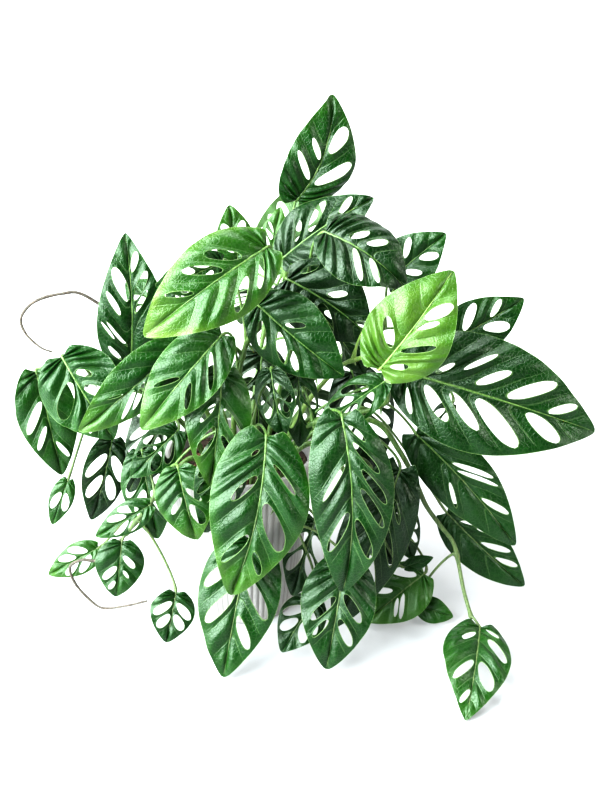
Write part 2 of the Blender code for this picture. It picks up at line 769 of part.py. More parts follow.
def make_soil(parts, cutters):
    """The soil that fills the pot, with a low uneven top and a plain hole for each stem."""
    profile = (
        (0, SOIL_TOP),
        (pot_inside(SOIL_TOP) * 0.45, SOIL_TOP),
        (pot_inside(SOIL_TOP) * 0.8, SOIL_TOP),
        (pot_inside(SOIL_TOP) - 2 * GAP, SOIL_TOP - 0.002),
        (pot_inside(POT_FLOOR + GAP) - 2 * GAP, POT_FLOOR + GAP),
        (0, POT_FLOOR + GAP),
    )
    soil = turned(profile, "soil", SOIL_SIDES, parts)
    for vertex in soil.data.vertices:
        if vertex.co.z > SOIL_TOP - 0.001:
            swell = math.sin(170 * vertex.co.x + 1) * math.sin(140 * vertex.co.y + 2)
            vertex.co.z += SOIL_RELIEF * swell
    for vine in VINES:
        x, y = vine.stem[0]
        depth = STEM_DEPTH + SOIL_RELIEF
        bpy.ops.mesh.primitive_cylinder_add(
            vertices=HOLE_EDGES, radius=(STEM_RADIUS + GAP) / math.cos(math.pi / HOLE_EDGES), depth=2 * depth,
            location=(x * MM, y * MM, SOIL_TOP - STEM_DEPTH + depth),
        )
        hole = bpy.context.object
        hole.name = vine.name + "_hole"
        for home in list(hole.users_collection):
            home.objects.unlink(hole)
        cutters.objects.link(hole)
        hole.hide_render = True
        hole.display_type = "WIRE"
    cut = soil.modifiers.new("stem holes", "BOOLEAN")
    cut.operand_type = "COLLECTION"
    cut.collection = cutters
    soil.data.materials.append(material("soil", SOIL_BROWN, 0.9))


def main():
    for old in list(bpy.data.objects):
        bpy.data.objects.remove(old)
    parts = bpy.data.collections.new("monstera_adansonii")
    cutters = bpy.data.collections.new("cutters")
    bpy.context.scene.collection.children.link(parts)
    bpy.context.scene.collection.children.link(cutters)
    make_pot(parts)
    make_soil(parts, cutters)
    for vine in VINES:
        make_vine(vine, parts)


main()
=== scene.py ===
"""Monstera adansonii in a fluted pot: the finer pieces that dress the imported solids.

All is in metres, with +Z up and the origin in the middle of the pot's flat underside, as in the
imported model. Each leafy stem's solid is replaced by a blades piece and a stems piece that follow
the same paths, outlines, holes and bends, with the veins and pleats that solids leave out.
"""

import logging
import math
import random
from contextlib import contextmanager
from dataclasses import dataclass
from enum import Enum

import bpy
import numpy as np
from bpy.types import Material, Mesh, Node, NodeSocket, NodeTree, Object
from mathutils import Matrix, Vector, noise
from mathutils.geometry import interpolate_bezier


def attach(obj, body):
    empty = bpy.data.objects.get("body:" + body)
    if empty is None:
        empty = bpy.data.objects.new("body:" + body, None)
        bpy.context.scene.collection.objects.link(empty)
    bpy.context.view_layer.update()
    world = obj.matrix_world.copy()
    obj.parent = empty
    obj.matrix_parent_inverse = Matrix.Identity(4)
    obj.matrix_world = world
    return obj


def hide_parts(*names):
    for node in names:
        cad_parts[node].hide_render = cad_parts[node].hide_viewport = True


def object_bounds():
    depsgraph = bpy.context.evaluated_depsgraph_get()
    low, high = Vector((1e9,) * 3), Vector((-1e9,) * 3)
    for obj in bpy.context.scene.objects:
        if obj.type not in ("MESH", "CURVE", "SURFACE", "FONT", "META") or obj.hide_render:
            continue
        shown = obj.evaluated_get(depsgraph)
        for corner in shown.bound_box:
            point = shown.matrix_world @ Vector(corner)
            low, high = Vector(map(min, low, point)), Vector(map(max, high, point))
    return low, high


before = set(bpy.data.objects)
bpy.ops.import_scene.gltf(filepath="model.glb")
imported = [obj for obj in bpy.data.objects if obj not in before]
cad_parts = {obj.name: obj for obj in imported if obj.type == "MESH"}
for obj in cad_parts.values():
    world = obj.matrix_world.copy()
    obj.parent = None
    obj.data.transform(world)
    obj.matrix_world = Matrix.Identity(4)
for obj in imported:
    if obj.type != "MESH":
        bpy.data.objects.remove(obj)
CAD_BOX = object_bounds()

logging.basicConfig(level=logging.INFO, format="%(name)s: %(message)s")
log = logging.getLogger("monstera")

MM = 0.001
ROOT = "root"

# The pot and what fills it, as in the solids
POT_HEIGHT = 0.150
POT_RIM_RADIUS = 0.0655
POT_BASE_RADIUS = 0.0485
POT_WALL = 0.0045
POT_FLOOR = 0.008
FLUTES = 60
FLUTE_DEPTH = 0.0008
FLUTE_SIDES = 8
SOIL_TOP = 0.137
SOIL_RELIEF = 0.0015
GAP = 0.0003

# Stems, petioles and roots, as in the solids
STEM_RADIUS = 0.0026
PETIOLE_RADIUS = 0.0012
ROOT_RADIUS = 0.0013
STEM_DEPTH = 0.012
PETIOLE_REACH = 0.09

# Blades, as in the solids. What has no unit is a share of the blade's length or half width.
LOWEST_BLADE = 0.0010
HOLE_MARGIN = 0.13
HOLE_BRIDGE = 0.016
HOLE_BESIDE = 0.06
HOLE_ALONG = (0.05, 0.86)
LEAST_HOLE = 0.0007
BAYS_FROM = 0.16
BAYS_SPAN = 0.56
BAY_SHIFT = 0.02
BAY_HOLE_OUT = 0.45
BAY_HOLE_REACH = 0.42
BAY_HOLE_GAPE = 0.16
MOST_GAPE = 0.0055
HELD_BAY = 0.2

# The blades' finer mesh: rows between two side veins, widths in mm that earn more bays, the
# sheet's thickness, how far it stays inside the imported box, and the welding distance
ROWS = 4
WIDE_BLADE = 55
SMALL_BLADE = 32
SHEET = 0.00055
BOX_INSET = 0.0005
MERGE = 1e-4
RING_SPREAD = 1.20
RING_ROOM = 0.90
KNOT_PAD = 0.035

# The blades' relief: its heights, for a blade of this half width
RELIEF_HALF = 0.030
MOST_RELIEF = 1.3
PLEAT = 2.3 * MM
GROOVE = 0.5 * MM
GROOVE_WIDTH = 0.13
RIB = 0.7 * MM
RIB_WIDTH = 0.07
WAVE = 2.6 * MM

# The finer petioles and stems
PETIOLE_STEPS = 22
MIDRIB_STEPS = 18
STEM_TAPER = 0.42
SWELL_REACH = 0.004
ROOT_STEPS = 8

# The floor and the backdrop that it curves up into
FLOOR_LEVEL = -0.0002
SWEEP_FRONT = 5.0
SWEEP_BACK = 0.9
SWEEP_RADIUS = 1.2
SWEEP_TOP = 4.0
SWEEP_WIDTH = 12.0
SWEEP_STEPS = 40

# Where the plant was seen from
VIEW_PITCH = math.radians(25)
VIEW_DISTANCE = 0.85
VIEW_FOCAL = 977
VIEW_MIDDLE = (300, 400)
VIEW_HEIGHT = 800
SENSOR = 24
VIEW_TARGET = Vector((0.052, 0.018, 0.189))
VIEW_AHEAD = Vector((0, math.cos(VIEW_PITCH), -math.sin(VIEW_PITCH)))
VIEW_UP = Vector((0, math.sin(VIEW_PITCH), math.cos(VIEW_PITCH)))
VIEW_FROM = VIEW_TARGET - VIEW_DISTANCE * VIEW_AHEAD


def sight(x: float, y: float) -> Vector:
    """The direction in which pixel (x, y) is seen."""
    right = (x - VIEW_MIDDLE[0]) / VIEW_FOCAL
    up = (VIEW_MIDDLE[1] - y) / VIEW_FOCAL
    return VIEW_AHEAD + right * Vector((1, 0, 0)) + up * VIEW_UP


def seen(x: float, y: float, behind: float) -> Vector:
    """The point that a pixel shows, on the upright plane this many mm behind the pot's axis."""
    ray = sight(x, y)
    return VIEW_FROM + ray * ((behind * MM - VIEW_FROM.y) / ray.y)


def at(x: float, y: float, z: float) -> Vector:
    """A point given in mm."""
    return Vector((x, y, z)) * MM


class Size(Enum):
    """Half length across the blade and half width along it, of each size of hole."""

    TINY = (0.0026, 0.0016)
    SLIM = (0.0090, 0.0025)
    SMALL = (0.0052, 0.0028)
    MID = (0.0082, 0.0042)
    BIG = (0.0112, 0.0056)
    HUGE = (0.0140, 0.0076)


@dataclass(frozen=True)
class Hole:
    """A hole of a blade, by the pixel where its middle is seen."""

    x: float
    y: float
    size: Size


def spots(listed: str) -> tuple:
    """Holes from a list such as "322 213 MID, 343 226 BIG"."""
    rows = (spot.split() for spot in listed.split(","))
    return tuple(Hole(float(x), float(y), Size[size]) for x, y, size in rows)


@dataclass(frozen=True)
class Leaf:
    """A blade from its heel, where the petiole meets it, to its tip.

    Width is in mm. A leaf has the holes that are listed, or else pairs of them in this many bays.
    Roll turns it about its length and fold lifts its halves, in degrees; arch and sway bend it up
    and aside, as shares of its length. It faces the camera, unless facing is given.
    """

    heel: Vector
    tip: Vector
    width: float
    holes: tuple = ()
    bays: int = 0
    roll: float = 0
    fold: float = 14
    arch: float = 0.07
    sway: float = 0
    facing: Vector = None


@dataclass(frozen=True)
class Vine:
    """A leafy stem: its stem's points in mm, its leaves from root to end and its roots.

    tones has each leaf's colour and its tip's colour, from 0, old and dark, to 1, young and lime.
    first_leaf is how far up the stem the leaves start.
    """

    name: str
    stem: tuple
    leaves: tuple
    tones: tuple
    first_leaf: float
    roots: tuple = ()
    young: bool = False


VINES = (
    Vine(
        "vine_crown",
        ((8, 14), (12, 18, 170), (24, 24, 215), (34, 26, 262), (40, 26, 300), (46, 28, 332)),
        (
            Leaf(seen(238, 262, 38), seen(229, 204, 48), 34, bays=2, roll=10),
            Leaf(seen(270, 262, 45), seen(281, 206, 58), 26, bays=2, roll=-10),
            Leaf(seen(283, 258, 14), seen(375, 198, 18), 54, roll=-22, arch=0.1,
                 holes=spots("322 213 MID, 343 226 MID, 299 244 SMALL, 350 204 SMALL")),
            Leaf(seen(297, 200, 30), seen(332, 92, 34), 57, roll=18, sway=-0.09,
                 holes=spots("340 135 BIG, 335 171 BIG, 315 150 SMALL, 308 178 SLIM")),
        ),
        tones=((0.46, 0.55), (0.50, 0.60), (0.12, 0.18), (0.28, 0.42)),
        first_leaf=0.6,
    ),
    Vine(
        "vine_dusk",
        ((20, 2), (28, 6, 175), (40, 8, 225), (52, 0, 270), (58, -6, 304)),
        (
            Leaf(seen(262, 352, 22), seen(258, 452, 12), 58, bays=3, roll=8),
            Leaf(seen(310, 300, 4), seen(366, 376, -8), 40, bays=2, roll=-15),
            Leaf(seen(287, 279, -14), seen(372, 340, -26), 66, roll=12, sway=0.06,
                 holes=spots("324 302 BIG, 358 324 MID, 310 268 SMALL, 338 292 SMALL")),
            Leaf(seen(325, 232, -26), seen(407, 290, -44), 60, roll=-28, arch=0.14, fold=20,
                 holes=spots("352 262 SLIM, 370 276 SLIM, 372 250 SMALL, 345 244 SMALL")),
        ),
        tones=((0.04, 0.08), (0.22, 0.24), (0.10, 0.14), (0.12, 0.16)),
        first_leaf=0.55,
    ),
    Vine(
        "vine_pale",
        ((-2, -8), (-4, -14, 180), (2, -22, 230), (10, -30, 262), (20, -34, 276)),
        (
            Leaf(seen(222, 335, -60), seen(140, 432, -84), 52, roll=10,
                 holes=spots("191 396 SMALL, 213 370 SLIM, 178 380 SMALL")),
            Leaf(seen(180, 345, -50), seen(77, 433, -74), 44, roll=-14,
                 holes=spots("141 387 SMALL, 128 404 SMALL, 120 392 TINY")),
            Leaf(seen(222, 262, -22), seen(154, 286, -34), 38, bays=2, roll=-30),
            Leaf(seen(258, 305, -38), seen(345, 377, -54), 60, roll=14,
                 holes=spots("262 333 MID, 283 346 MID, 296 364 SMALL, 288 324 SMALL")),
            Leaf(seen(267, 247, -56), seen(142, 338, -84), 64, roll=8, arch=0.12,
                 holes=spots("245 261 MID, 217 273 MID, 215 285 SMALL, 262 273 SLIM, "
                             "243 297 MID, 207 315 BIG, 190 296 SMALL")),
        ),
        tones=((0.36, 0.66), (0.34, 0.66), (0.32, 0.38), (0.28, 0.34), (0.46, 0.86)),
        first_leaf=0.5,
    ),
    Vine(
        "vine_lime",
        ((32, -14), (44, -16, 175), (62, -20, 210), (84, -28, 240), (104, -44, 256)),
        (
            Leaf(seen(380, 318, -52), seen(394, 288, -50), 9, roll=40, fold=35),
            Leaf(seen(380, 369, -74), seen(454, 269, -58), 66, roll=-6, arch=0.1, sway=-0.03,
                 holes=spots("391 334 MID, 438 313 BIG, 415 328 SMALL, 416 350 SLIM, "
                             "400 367 SMALL")),
        ),
        tones=((0.84, 0.96), (0.72, 0.66)),
        young=True, first_leaf=0.8,
    ),
    Vine(
        "vine_right_upper",
        ((34, 10), (48, 12, 175), (76, 10, 214), (104, 6, 244), (122, 4, 262)),
        (
            Leaf(seen(352, 372, 30), seen(376, 470, 20), 58, bays=3, roll=-8),
            Leaf(seen(452, 404, -8), seen(428, 432, -10), 17, bays=1),
            Leaf(seen(449, 342, 2), seen(525, 298, -2), 47, roll=12,
                 holes=spots("469 315 MID, 492 325 BIG, 497 304 SMALL")),
            Leaf(seen(388, 282, 6), seen(447, 233, 2), 46, roll=-10,
                 holes=spots("397 246 MID, 411 236 SMALL, 421 256 MID, 411 272 SMALL")),
        ),
        tones=((0.06, 0.10), (0.10, 0.12), (0.30, 0.36), (0.30, 0.34)),
        first_leaf=0.6,
    ),
    Vine(
        "vine_right",
        ((40, -4), (54, -6, 168), (84, -10, 186), (112, -16, 196), (124, -22, 206)),
        (
            Leaf(seen(447, 513, 0), seen(525, 587, -20), 48, roll=8,
                 holes=spots("459 521 SMALL, 479 541 MID, 502 558 MID, 498 530 SMALL")),
            Leaf(seen(416, 434, -16), seen(516, 547, -42), 54, roll=10, sway=0.04,
                 holes=spots("455 467 SLIM, 483 470 MID, 481 496 BIG, 452 490 SMALL")),
            Leaf(seen(405, 372, -36), seen(596, 432, -48), 96, roll=-6, arch=0.09,
                 holes=spots("441 370 SMALL, 475 363 SLIM, 488 379 MID, 530 389 BIG, "
                             "558 410 MID, 405 400 SLIM, 431 402 BIG, 457 407 BIG, "
                             "497 432 HUGE, 540 430 HUGE")),
        ),
        tones=((0.24, 0.30), (0.26, 0.30), (0.20, 0.26)),
        first_leaf=0.55,
    ),
    Vine(
        "vine_trailing",
        ((40, -18), (56, -24, 172), (86, -30, 194), (116, -34, 192), (135, -34, 166),
         (149, -30, 138), (160, -30, 112), (173, -32, 93), (185, -38, 78), (190, -46, 59),
         (193, -60, 44), (197, -80, 32)),
        (
            Leaf(seen(418, 605, -42), seen(454, 617, -50), 24, roll=10),
            Leaf(at(203, -90, 29), at(181, -170, 2), 56, facing=Vector((0.1, -0.3, 1)), arch=0.1,
                 holes=spots("472 637 SMALL, 469 670 MID, 468 697 SMALL, 491 636 SMALL, "
                             "495 656 MID, 488 692 BIG")),
        ),
        tones=((0.40, 0.48), (0.34, 0.42)),
        first_leaf=0.6,
    ),
    Vine(
        "vine_front_left",
        ((4, -30), (6, -38, 172), (10, -48, 190), (18, -56, 200)),
        (
            Leaf(seen(222, 372, -62), seen(210, 488, -84), 52, roll=-12,
                 holes=spots("203 440 BIG, 229 419 MID, 226 446 SMALL, 206 410 SMALL")),
            Leaf(seen(271, 370, -56), seen(285, 438, -68), 34, bays=2, roll=25),
            Leaf(seen(266, 437, -78), seen(230, 596, -112), 78, fold=16, arch=0.09, sway=0.05,
                 holes=spots("260 449 TINY, 248 482 MID, 244 537 BIG, 285 475 SLIM, "
                             "278 532 HUGE, 260 568 SMALL")),
        ),
        tones=((0.36, 0.66), (0.14, 0.18), (0.30, 0.62)),
        first_leaf=0.6,
    ),
    Vine(
        "vine_front_right",
        ((26, -32), (36, -40, 172), (54, -48, 194), (70, -54, 206)),
        (
            Leaf(seen(384, 382, -56), seen(315, 433, -66), 34, bays=2, roll=20),
            Leaf(seen(298, 373, -42), seen(299, 448, -52), 32, bays=2, roll=-15),
            Leaf(seen(400, 470, -44), seen(334, 629, -66), 60, roll=-10,
                 holes=spots("388 540 MID, 372 585 MID, 396 505 SMALL")),
            Leaf(seen(342, 418, -82), seen(342, 594, -106), 66, fold=20, arch=0.09, sway=0.055,
                 holes=spots("340 467 SLIM, 335 530 BIG, 355 429 SMALL, 366 453 MID, "
                             "374 480 MID, 374 503 MID, 369 543 BIG")),
        ),
        tones=((0.34, 0.40), (0.28, 0.34), (0.10, 0.16), (0.20, 0.30)),
        first_leaf=0.6,
    ),
    Vine(
        "vine_low_front",
        ((12, -42), (16, -54, 168), (24, -68, 162), (34, -76, 140), (44, -76, 118)),
        (
            Leaf(seen(250, 540, -80), seen(223, 679, -122), 68, roll=8, arch=0.04,
                 holes=spots("222 570 BIG, 216 610 BIG, 252 585 BIG, 242 625 BIG")),
            Leaf(seen(315, 520, -58), seen(292, 597, -78), 38, bays=2),
            Leaf(seen(315, 600, -80), seen(281, 653, -106), 40, bays=2, roll=10),
            Leaf(seen(345, 560, -84), seen(326, 671, -118), 62, roll=-6,
                 holes=spots("330 600 MID, 352 605 MID, 345 630 MID, 320 625 SMALL")),
        ),
        tones=((0.28, 0.34), (0.14, 0.18), (0.18, 0.22), (0.22, 0.28)),
        first_leaf=0.62,
    ),
    Vine(
        "vine_low_right",
        ((38, -30), (50, -32, 166), (66, -32, 172), (86, -28, 150), (102, -26, 112)),
        (
            Leaf(seen(372, 470, 4), seen(392, 566, -6), 50, bays=2, roll=6),
            Leaf(seen(396, 500, -26), seen(412, 560, -32), 30, bays=2),
            Leaf(seen(405, 567, -36), seen(434, 557, -34), 13),
            Leaf(seen(424, 574, -40), seen(366, 622, -50), 50, roll=6,
                 holes=spots("406 572 MID, 404 592 MID, 398 604 SMALL, 385 590 SMALL")),
        ),
        tones=((0.08, 0.12), (0.14, 0.18), (0.30, 0.36), (0.46, 0.56)),
        first_leaf=0.75,
    ),
    Vine(
        "vine_left_tall",
        ((-18, 12), (-26, 14, 172), (-44, 14, 206), (-62, 10, 222), (-74, 8, 228)),
        (
            Leaf(at(-60, 30, 262), at(-98, 52, 286), 40, bays=2, facing=Vector((-0.4, -0.3, 1))),
            Leaf(seen(130, 370, -2), seen(125, 232, 10), 58, roll=-8, sway=-0.04,
                 holes=spots("114 270 BIG, 112 296 SMALL, 101 317 SMALL, 120 334 MID, "
                             "116 351 SMALL, 134 262 MID, 142 284 MID, 139 304 SMALL")),
        ),
        tones=((0.30, 0.36), (0.20, 0.30)),
        roots=(
            (at(-74, 8, 228), at(-88, 18, 252), seen(86, 296, 12), seen(60, 294, 6),
             seen(34, 302, 0), seen(21, 318, -2), seen(26, 334, -4), seen(40, 347, -6),
             seen(52, 352, -6)),
        ),
        first_leaf=0.6,
    ),
    Vine(
        "vine_left_far",
        ((-30, -4), (-42, -8, 172), (-72, -12, 206), (-104, -14, 218), (-132, -14, 222)),
        (
            Leaf(seen(184, 380, -10), seen(128, 494, -24), 50, bays=3, roll=6),
            Leaf(seen(178, 430, -34), seen(130, 478, -50), 34, bays=2),
            Leaf(seen(112, 440, -24), seen(91, 521, -40), 40, bays=2, roll=-20),
            Leaf(seen(68, 480, -12), seen(52, 525, -20), 21, bays=1),
            Leaf(seen(62, 357, -32), seen(115, 440, -54), 68, roll=14,
                 holes=spots("69 397 BIG, 72 372 SMALL, 90 388 MID, 96 412 SMALL")),
            Leaf(seen(36, 372, -8), seen(62, 476, -22), 50, roll=-6,
                 holes=spots("32 388 SLIM, 22 402 SMALL, 31 420 MID, 40 437 SMALL, 61 447 SMALL")),
        ),
        tones=((0.06, 0.10), (0.30, 0.36), (0.08, 0.12), (0.34, 0.44), (0.32, 0.40), (0.34, 0.42)),
        first_leaf=0.5,
    ),
    Vine(
        "vine_left_low",
        ((-24, -28), (-38, -42, 164), (-58, -50, 146), (-78, -48, 118), (-96, -44, 92)),
        (
            Leaf(seen(232, 436, -66), seen(204, 534, -71), 42, bays=3, roll=-6),
            Leaf(seen(142, 452, -30), seen(158, 540, -44), 44, bays=2, roll=10),
            Leaf(seen(178, 468, -66), seen(197, 541, -78), 48, roll=12,
                 holes=spots("198 512 BIG, 180 500 SMALL, 190 490 SMALL")),
            Leaf(seen(150, 505, -62), seen(95, 537, -72), 26, bays=2, fold=24),
            Leaf(seen(176, 593, -74), seen(166, 643, -92), 38, bays=2, roll=-8),
            Leaf(seen(98, 548, -22), seen(48, 575, -30), 29, bays=2),
            Leaf(seen(122, 542, -48), seen(116, 597, -62), 42,
                 holes=spots("106 574 SMALL, 129 560 SMALL, 126 572 TINY, 108 587 TINY")),
        ),
        tones=((0.18, 0.26), (0.28, 0.40), (0.36, 0.62), (0.32, 0.44), (0.24, 0.30),
               (0.46, 0.56), (0.30, 0.38)),
        roots=(
            (at(-96, -44, 92), seen(101, 559, -40), seen(82, 560, -40), seen(70, 567, -40),
             seen(75, 583, -42), seen(89, 599, -44), seen(103, 608, -46), seen(125, 606, -52),
             seen(147, 601, -60)),
        ),
        first_leaf=0.5,
    ),
    Vine(
        "vine_back_left",
        ((-12, 34), (-20, 44, 170), (-42, 62, 198), (-62, 76, 206)),
        (
            Leaf(at(-36, 60, 236), at(-70, 104, 276), 60, bays=2, facing=Vector((-0.3, 0.7, 0.8))),
            Leaf(at(-60, 92, 190), at(-84, 148, 112), 74, bays=3, facing=Vector((-0.3, 1, 0.5))),
            Leaf(at(-88, 64, 214), at(-152, 96, 166), 68, bays=3, facing=Vector((-0.6, 0.3, 1))),
        ),
        tones=((0.22, 0.28), (0.30, 0.36), (0.36, 0.46)),
        first_leaf=0.6,
    ),
    Vine(
        "vine_back_middle",
        ((8, 38), (10, 50, 172), (16, 66, 212), (22, 74, 246)),
        (
            Leaf(at(-8, 84, 176), at(-24, 132, 86), 76, bays=3, facing=Vector((-0.1, 1, 0.4))),
            Leaf(at(18, 94, 262), at(-6, 148, 210), 66, bays=3, facing=Vector((-0.2, 0.8, 0.8))),
            Leaf(at(36, 90, 280), at(56, 118, 362), 66, bays=3, facing=Vector((0.1, 1, -0.1))),
        ),
        tones=((0.20, 0.26), (0.30, 0.36), (0.40, 0.50)),
        first_leaf=0.6,
    ),
    Vine(
        "vine_back_right",
        ((34, 30), (44, 40, 168), (66, 54, 196), (90, 62, 212)),
        (
            Leaf(at(52, 78, 170), at(68, 128, 78), 74, bays=3, facing=Vector((0.2, 1, 0.4))),
            Leaf(at(82, 86, 236), at(112, 138, 184), 74, bays=3, facing=Vector((0.3, 0.8, 0.8))),
            Leaf(at(118, 62, 222), at(196, 84, 168), 72, bays=3, facing=Vector((0.5, 0.4, 1))),
        ),
        tones=((0.18, 0.22), (0.26, 0.32), (0.34, 0.44)),
        first_leaf=0.6,
    ),
)


def margin(u):
    """A flat point of the blade's edge, as fractions of length and half width, from lobe to tip."""
    along = -0.06 + 1.06 * u**1.12
    across = np.sin(np.pi * (0.08 + 0.92 * np.clip(u, 0, 1) ** 0.95)) * (1 - 0.15 * u**3)
    return along, np.maximum(across, 0) ** 0.82


def blade_point(u, v):
    """A flat point of the blade: u picks the side vein, and v runs out along it from the midrib."""
    along, across = margin(u)
    rib = u**2.8
    return rib + (along - rib) * np.abs(v) ** 1.15, across * v


def vein_through(along: float, across: float) -> tuple:
    """The u and v of a flat point of the blade."""
    steps = 160
    u = np.arange(1, steps) / steps
    v = abs(across) / np.maximum(margin(u)[1], 1e-6)
    miss = np.where(v <= 1, np.abs(blade_point(u, v)[0] - along), 9.0)
    best = int(np.argmin(miss))
    return (float(u[best]), float(v[best])) if miss[best] < 9 else (0.5, 0.5)


def ease(x, low: float, high: float):
    """0 below low, 1 above high, and smooth between them."""
    t = np.clip((x - low) / (high - low), 0, 1)
    return t * t * (3 - 2 * t)


def smooth(points: list, steps: int) -> list:
    """A Catmull-Rom curve through the points, with this many steps between each pair."""
    ends = [2 * points[0] - points[1], *points, 2 * points[-1] - points[-2]]
    path = []
    for a, b, c, d in zip(ends, ends[1:], ends[2:], ends[3:]):
        for i in range(steps):
            t = i / steps
            path.append(
                0.5 * (2 * b + (c - a) * t + (2 * a - 5 * b + 4 * c - d) * t**2
                       + (3 * b - 3 * c + d - a) * t**3)
            )
    return path + [points[-1]]


def clear_selection() -> None:
    """Leaves nothing selected and nothing active."""
    for thing in bpy.context.selected_objects:
        thing.select_set(False)
    bpy.context.view_layer.objects.active = None


def activate(thing: Object) -> None:
    """Makes one object the only selected and active one."""
    clear_selection()
    thing.select_set(True)
    bpy.context.view_layer.objects.active = thing


@contextmanager
def editing(select: str = "SELECT"):
    """Edit mode on the active mesh, with all of it selected, none of it, or as it was."""
    bpy.ops.object.mode_set(mode="EDIT")
    if select:
        bpy.ops.mesh.select_all(action=select)
    yield
    bpy.ops.object.mode_set(mode="OBJECT")


def shade(degrees: float) -> None:
    """Shades the active mesh smooth, but for edges sharper than this."""
    bpy.ops.object.shade_smooth_by_angle(angle=math.radians(degrees))


def apply_modifiers(thing: Object) -> None:
    """Applies every modifier of an object in order."""
    activate(thing)
    for modifier in list(thing.modifiers):
        bpy.ops.object.modifier_apply(modifier=modifier.name)


def joined(pieces: list, name: str) -> Object:
    """Joins mesh objects into one of this name."""
    activate(pieces[0])
    for piece in pieces:
        piece.select_set(True)
    if len(pieces) > 1:
        bpy.ops.object.join()
    whole = bpy.context.view_layer.objects.active
    whole.name = whole.data.name = name
    return whole


def finished(piece: Object, finish: Material, slot: str, *nodes: str) -> None:
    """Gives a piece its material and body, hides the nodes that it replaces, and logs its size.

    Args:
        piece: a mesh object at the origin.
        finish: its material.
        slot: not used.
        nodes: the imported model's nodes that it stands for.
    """
    piece.data.materials.clear()
    piece.data.materials.append(finish)
    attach(piece, ROOT)
    if nodes:
        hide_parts(*nodes)
    piece.data.calc_loop_triangles()
    log.info("%s: %d triangles", piece.name, len(piece.data.loop_triangles))


def coordinates(mesh: Mesh) -> np.ndarray:
    """The mesh's points as an array of (x, y, z) rows."""
    points = np.empty(len(mesh.vertices) * 3)
    mesh.vertices.foreach_get("co", points)
    return points.reshape(-1, 3)


def set_coordinates(mesh: Mesh, points: np.ndarray) -> None:
    """Moves the mesh's points."""
    mesh.vertices.foreach_set("co", points.astype(np.float32).ravel())
    mesh.update()


def read_values(mesh: Mesh, name: str) -> np.ndarray:
    """A float attribute of the mesh's points."""
    values = np.empty(len(mesh.vertices), np.float32)
    mesh.attributes[name].data.foreach_get("value", values)
    return values.astype(float)


def store_values(mesh: Mesh, name: str, values: np.ndarray) -> None:
    """Keeps a float attribute on the mesh's points."""
    if name not in mesh.attributes:
        mesh.attributes.new(name, "FLOAT", "POINT")
    mesh.attributes[name].data.foreach_set("value", values.astype(np.float32))


def inside_box(points: np.ndarray) -> np.ndarray:
    """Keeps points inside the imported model's box, and blades off the surface."""
    low, high = (np.array(corner) for corner in CAD_BOX)
    low = low + BOX_INSET
    low[2] = LOWEST_BLADE
    return np.clip(points, low, high - BOX_INSET)


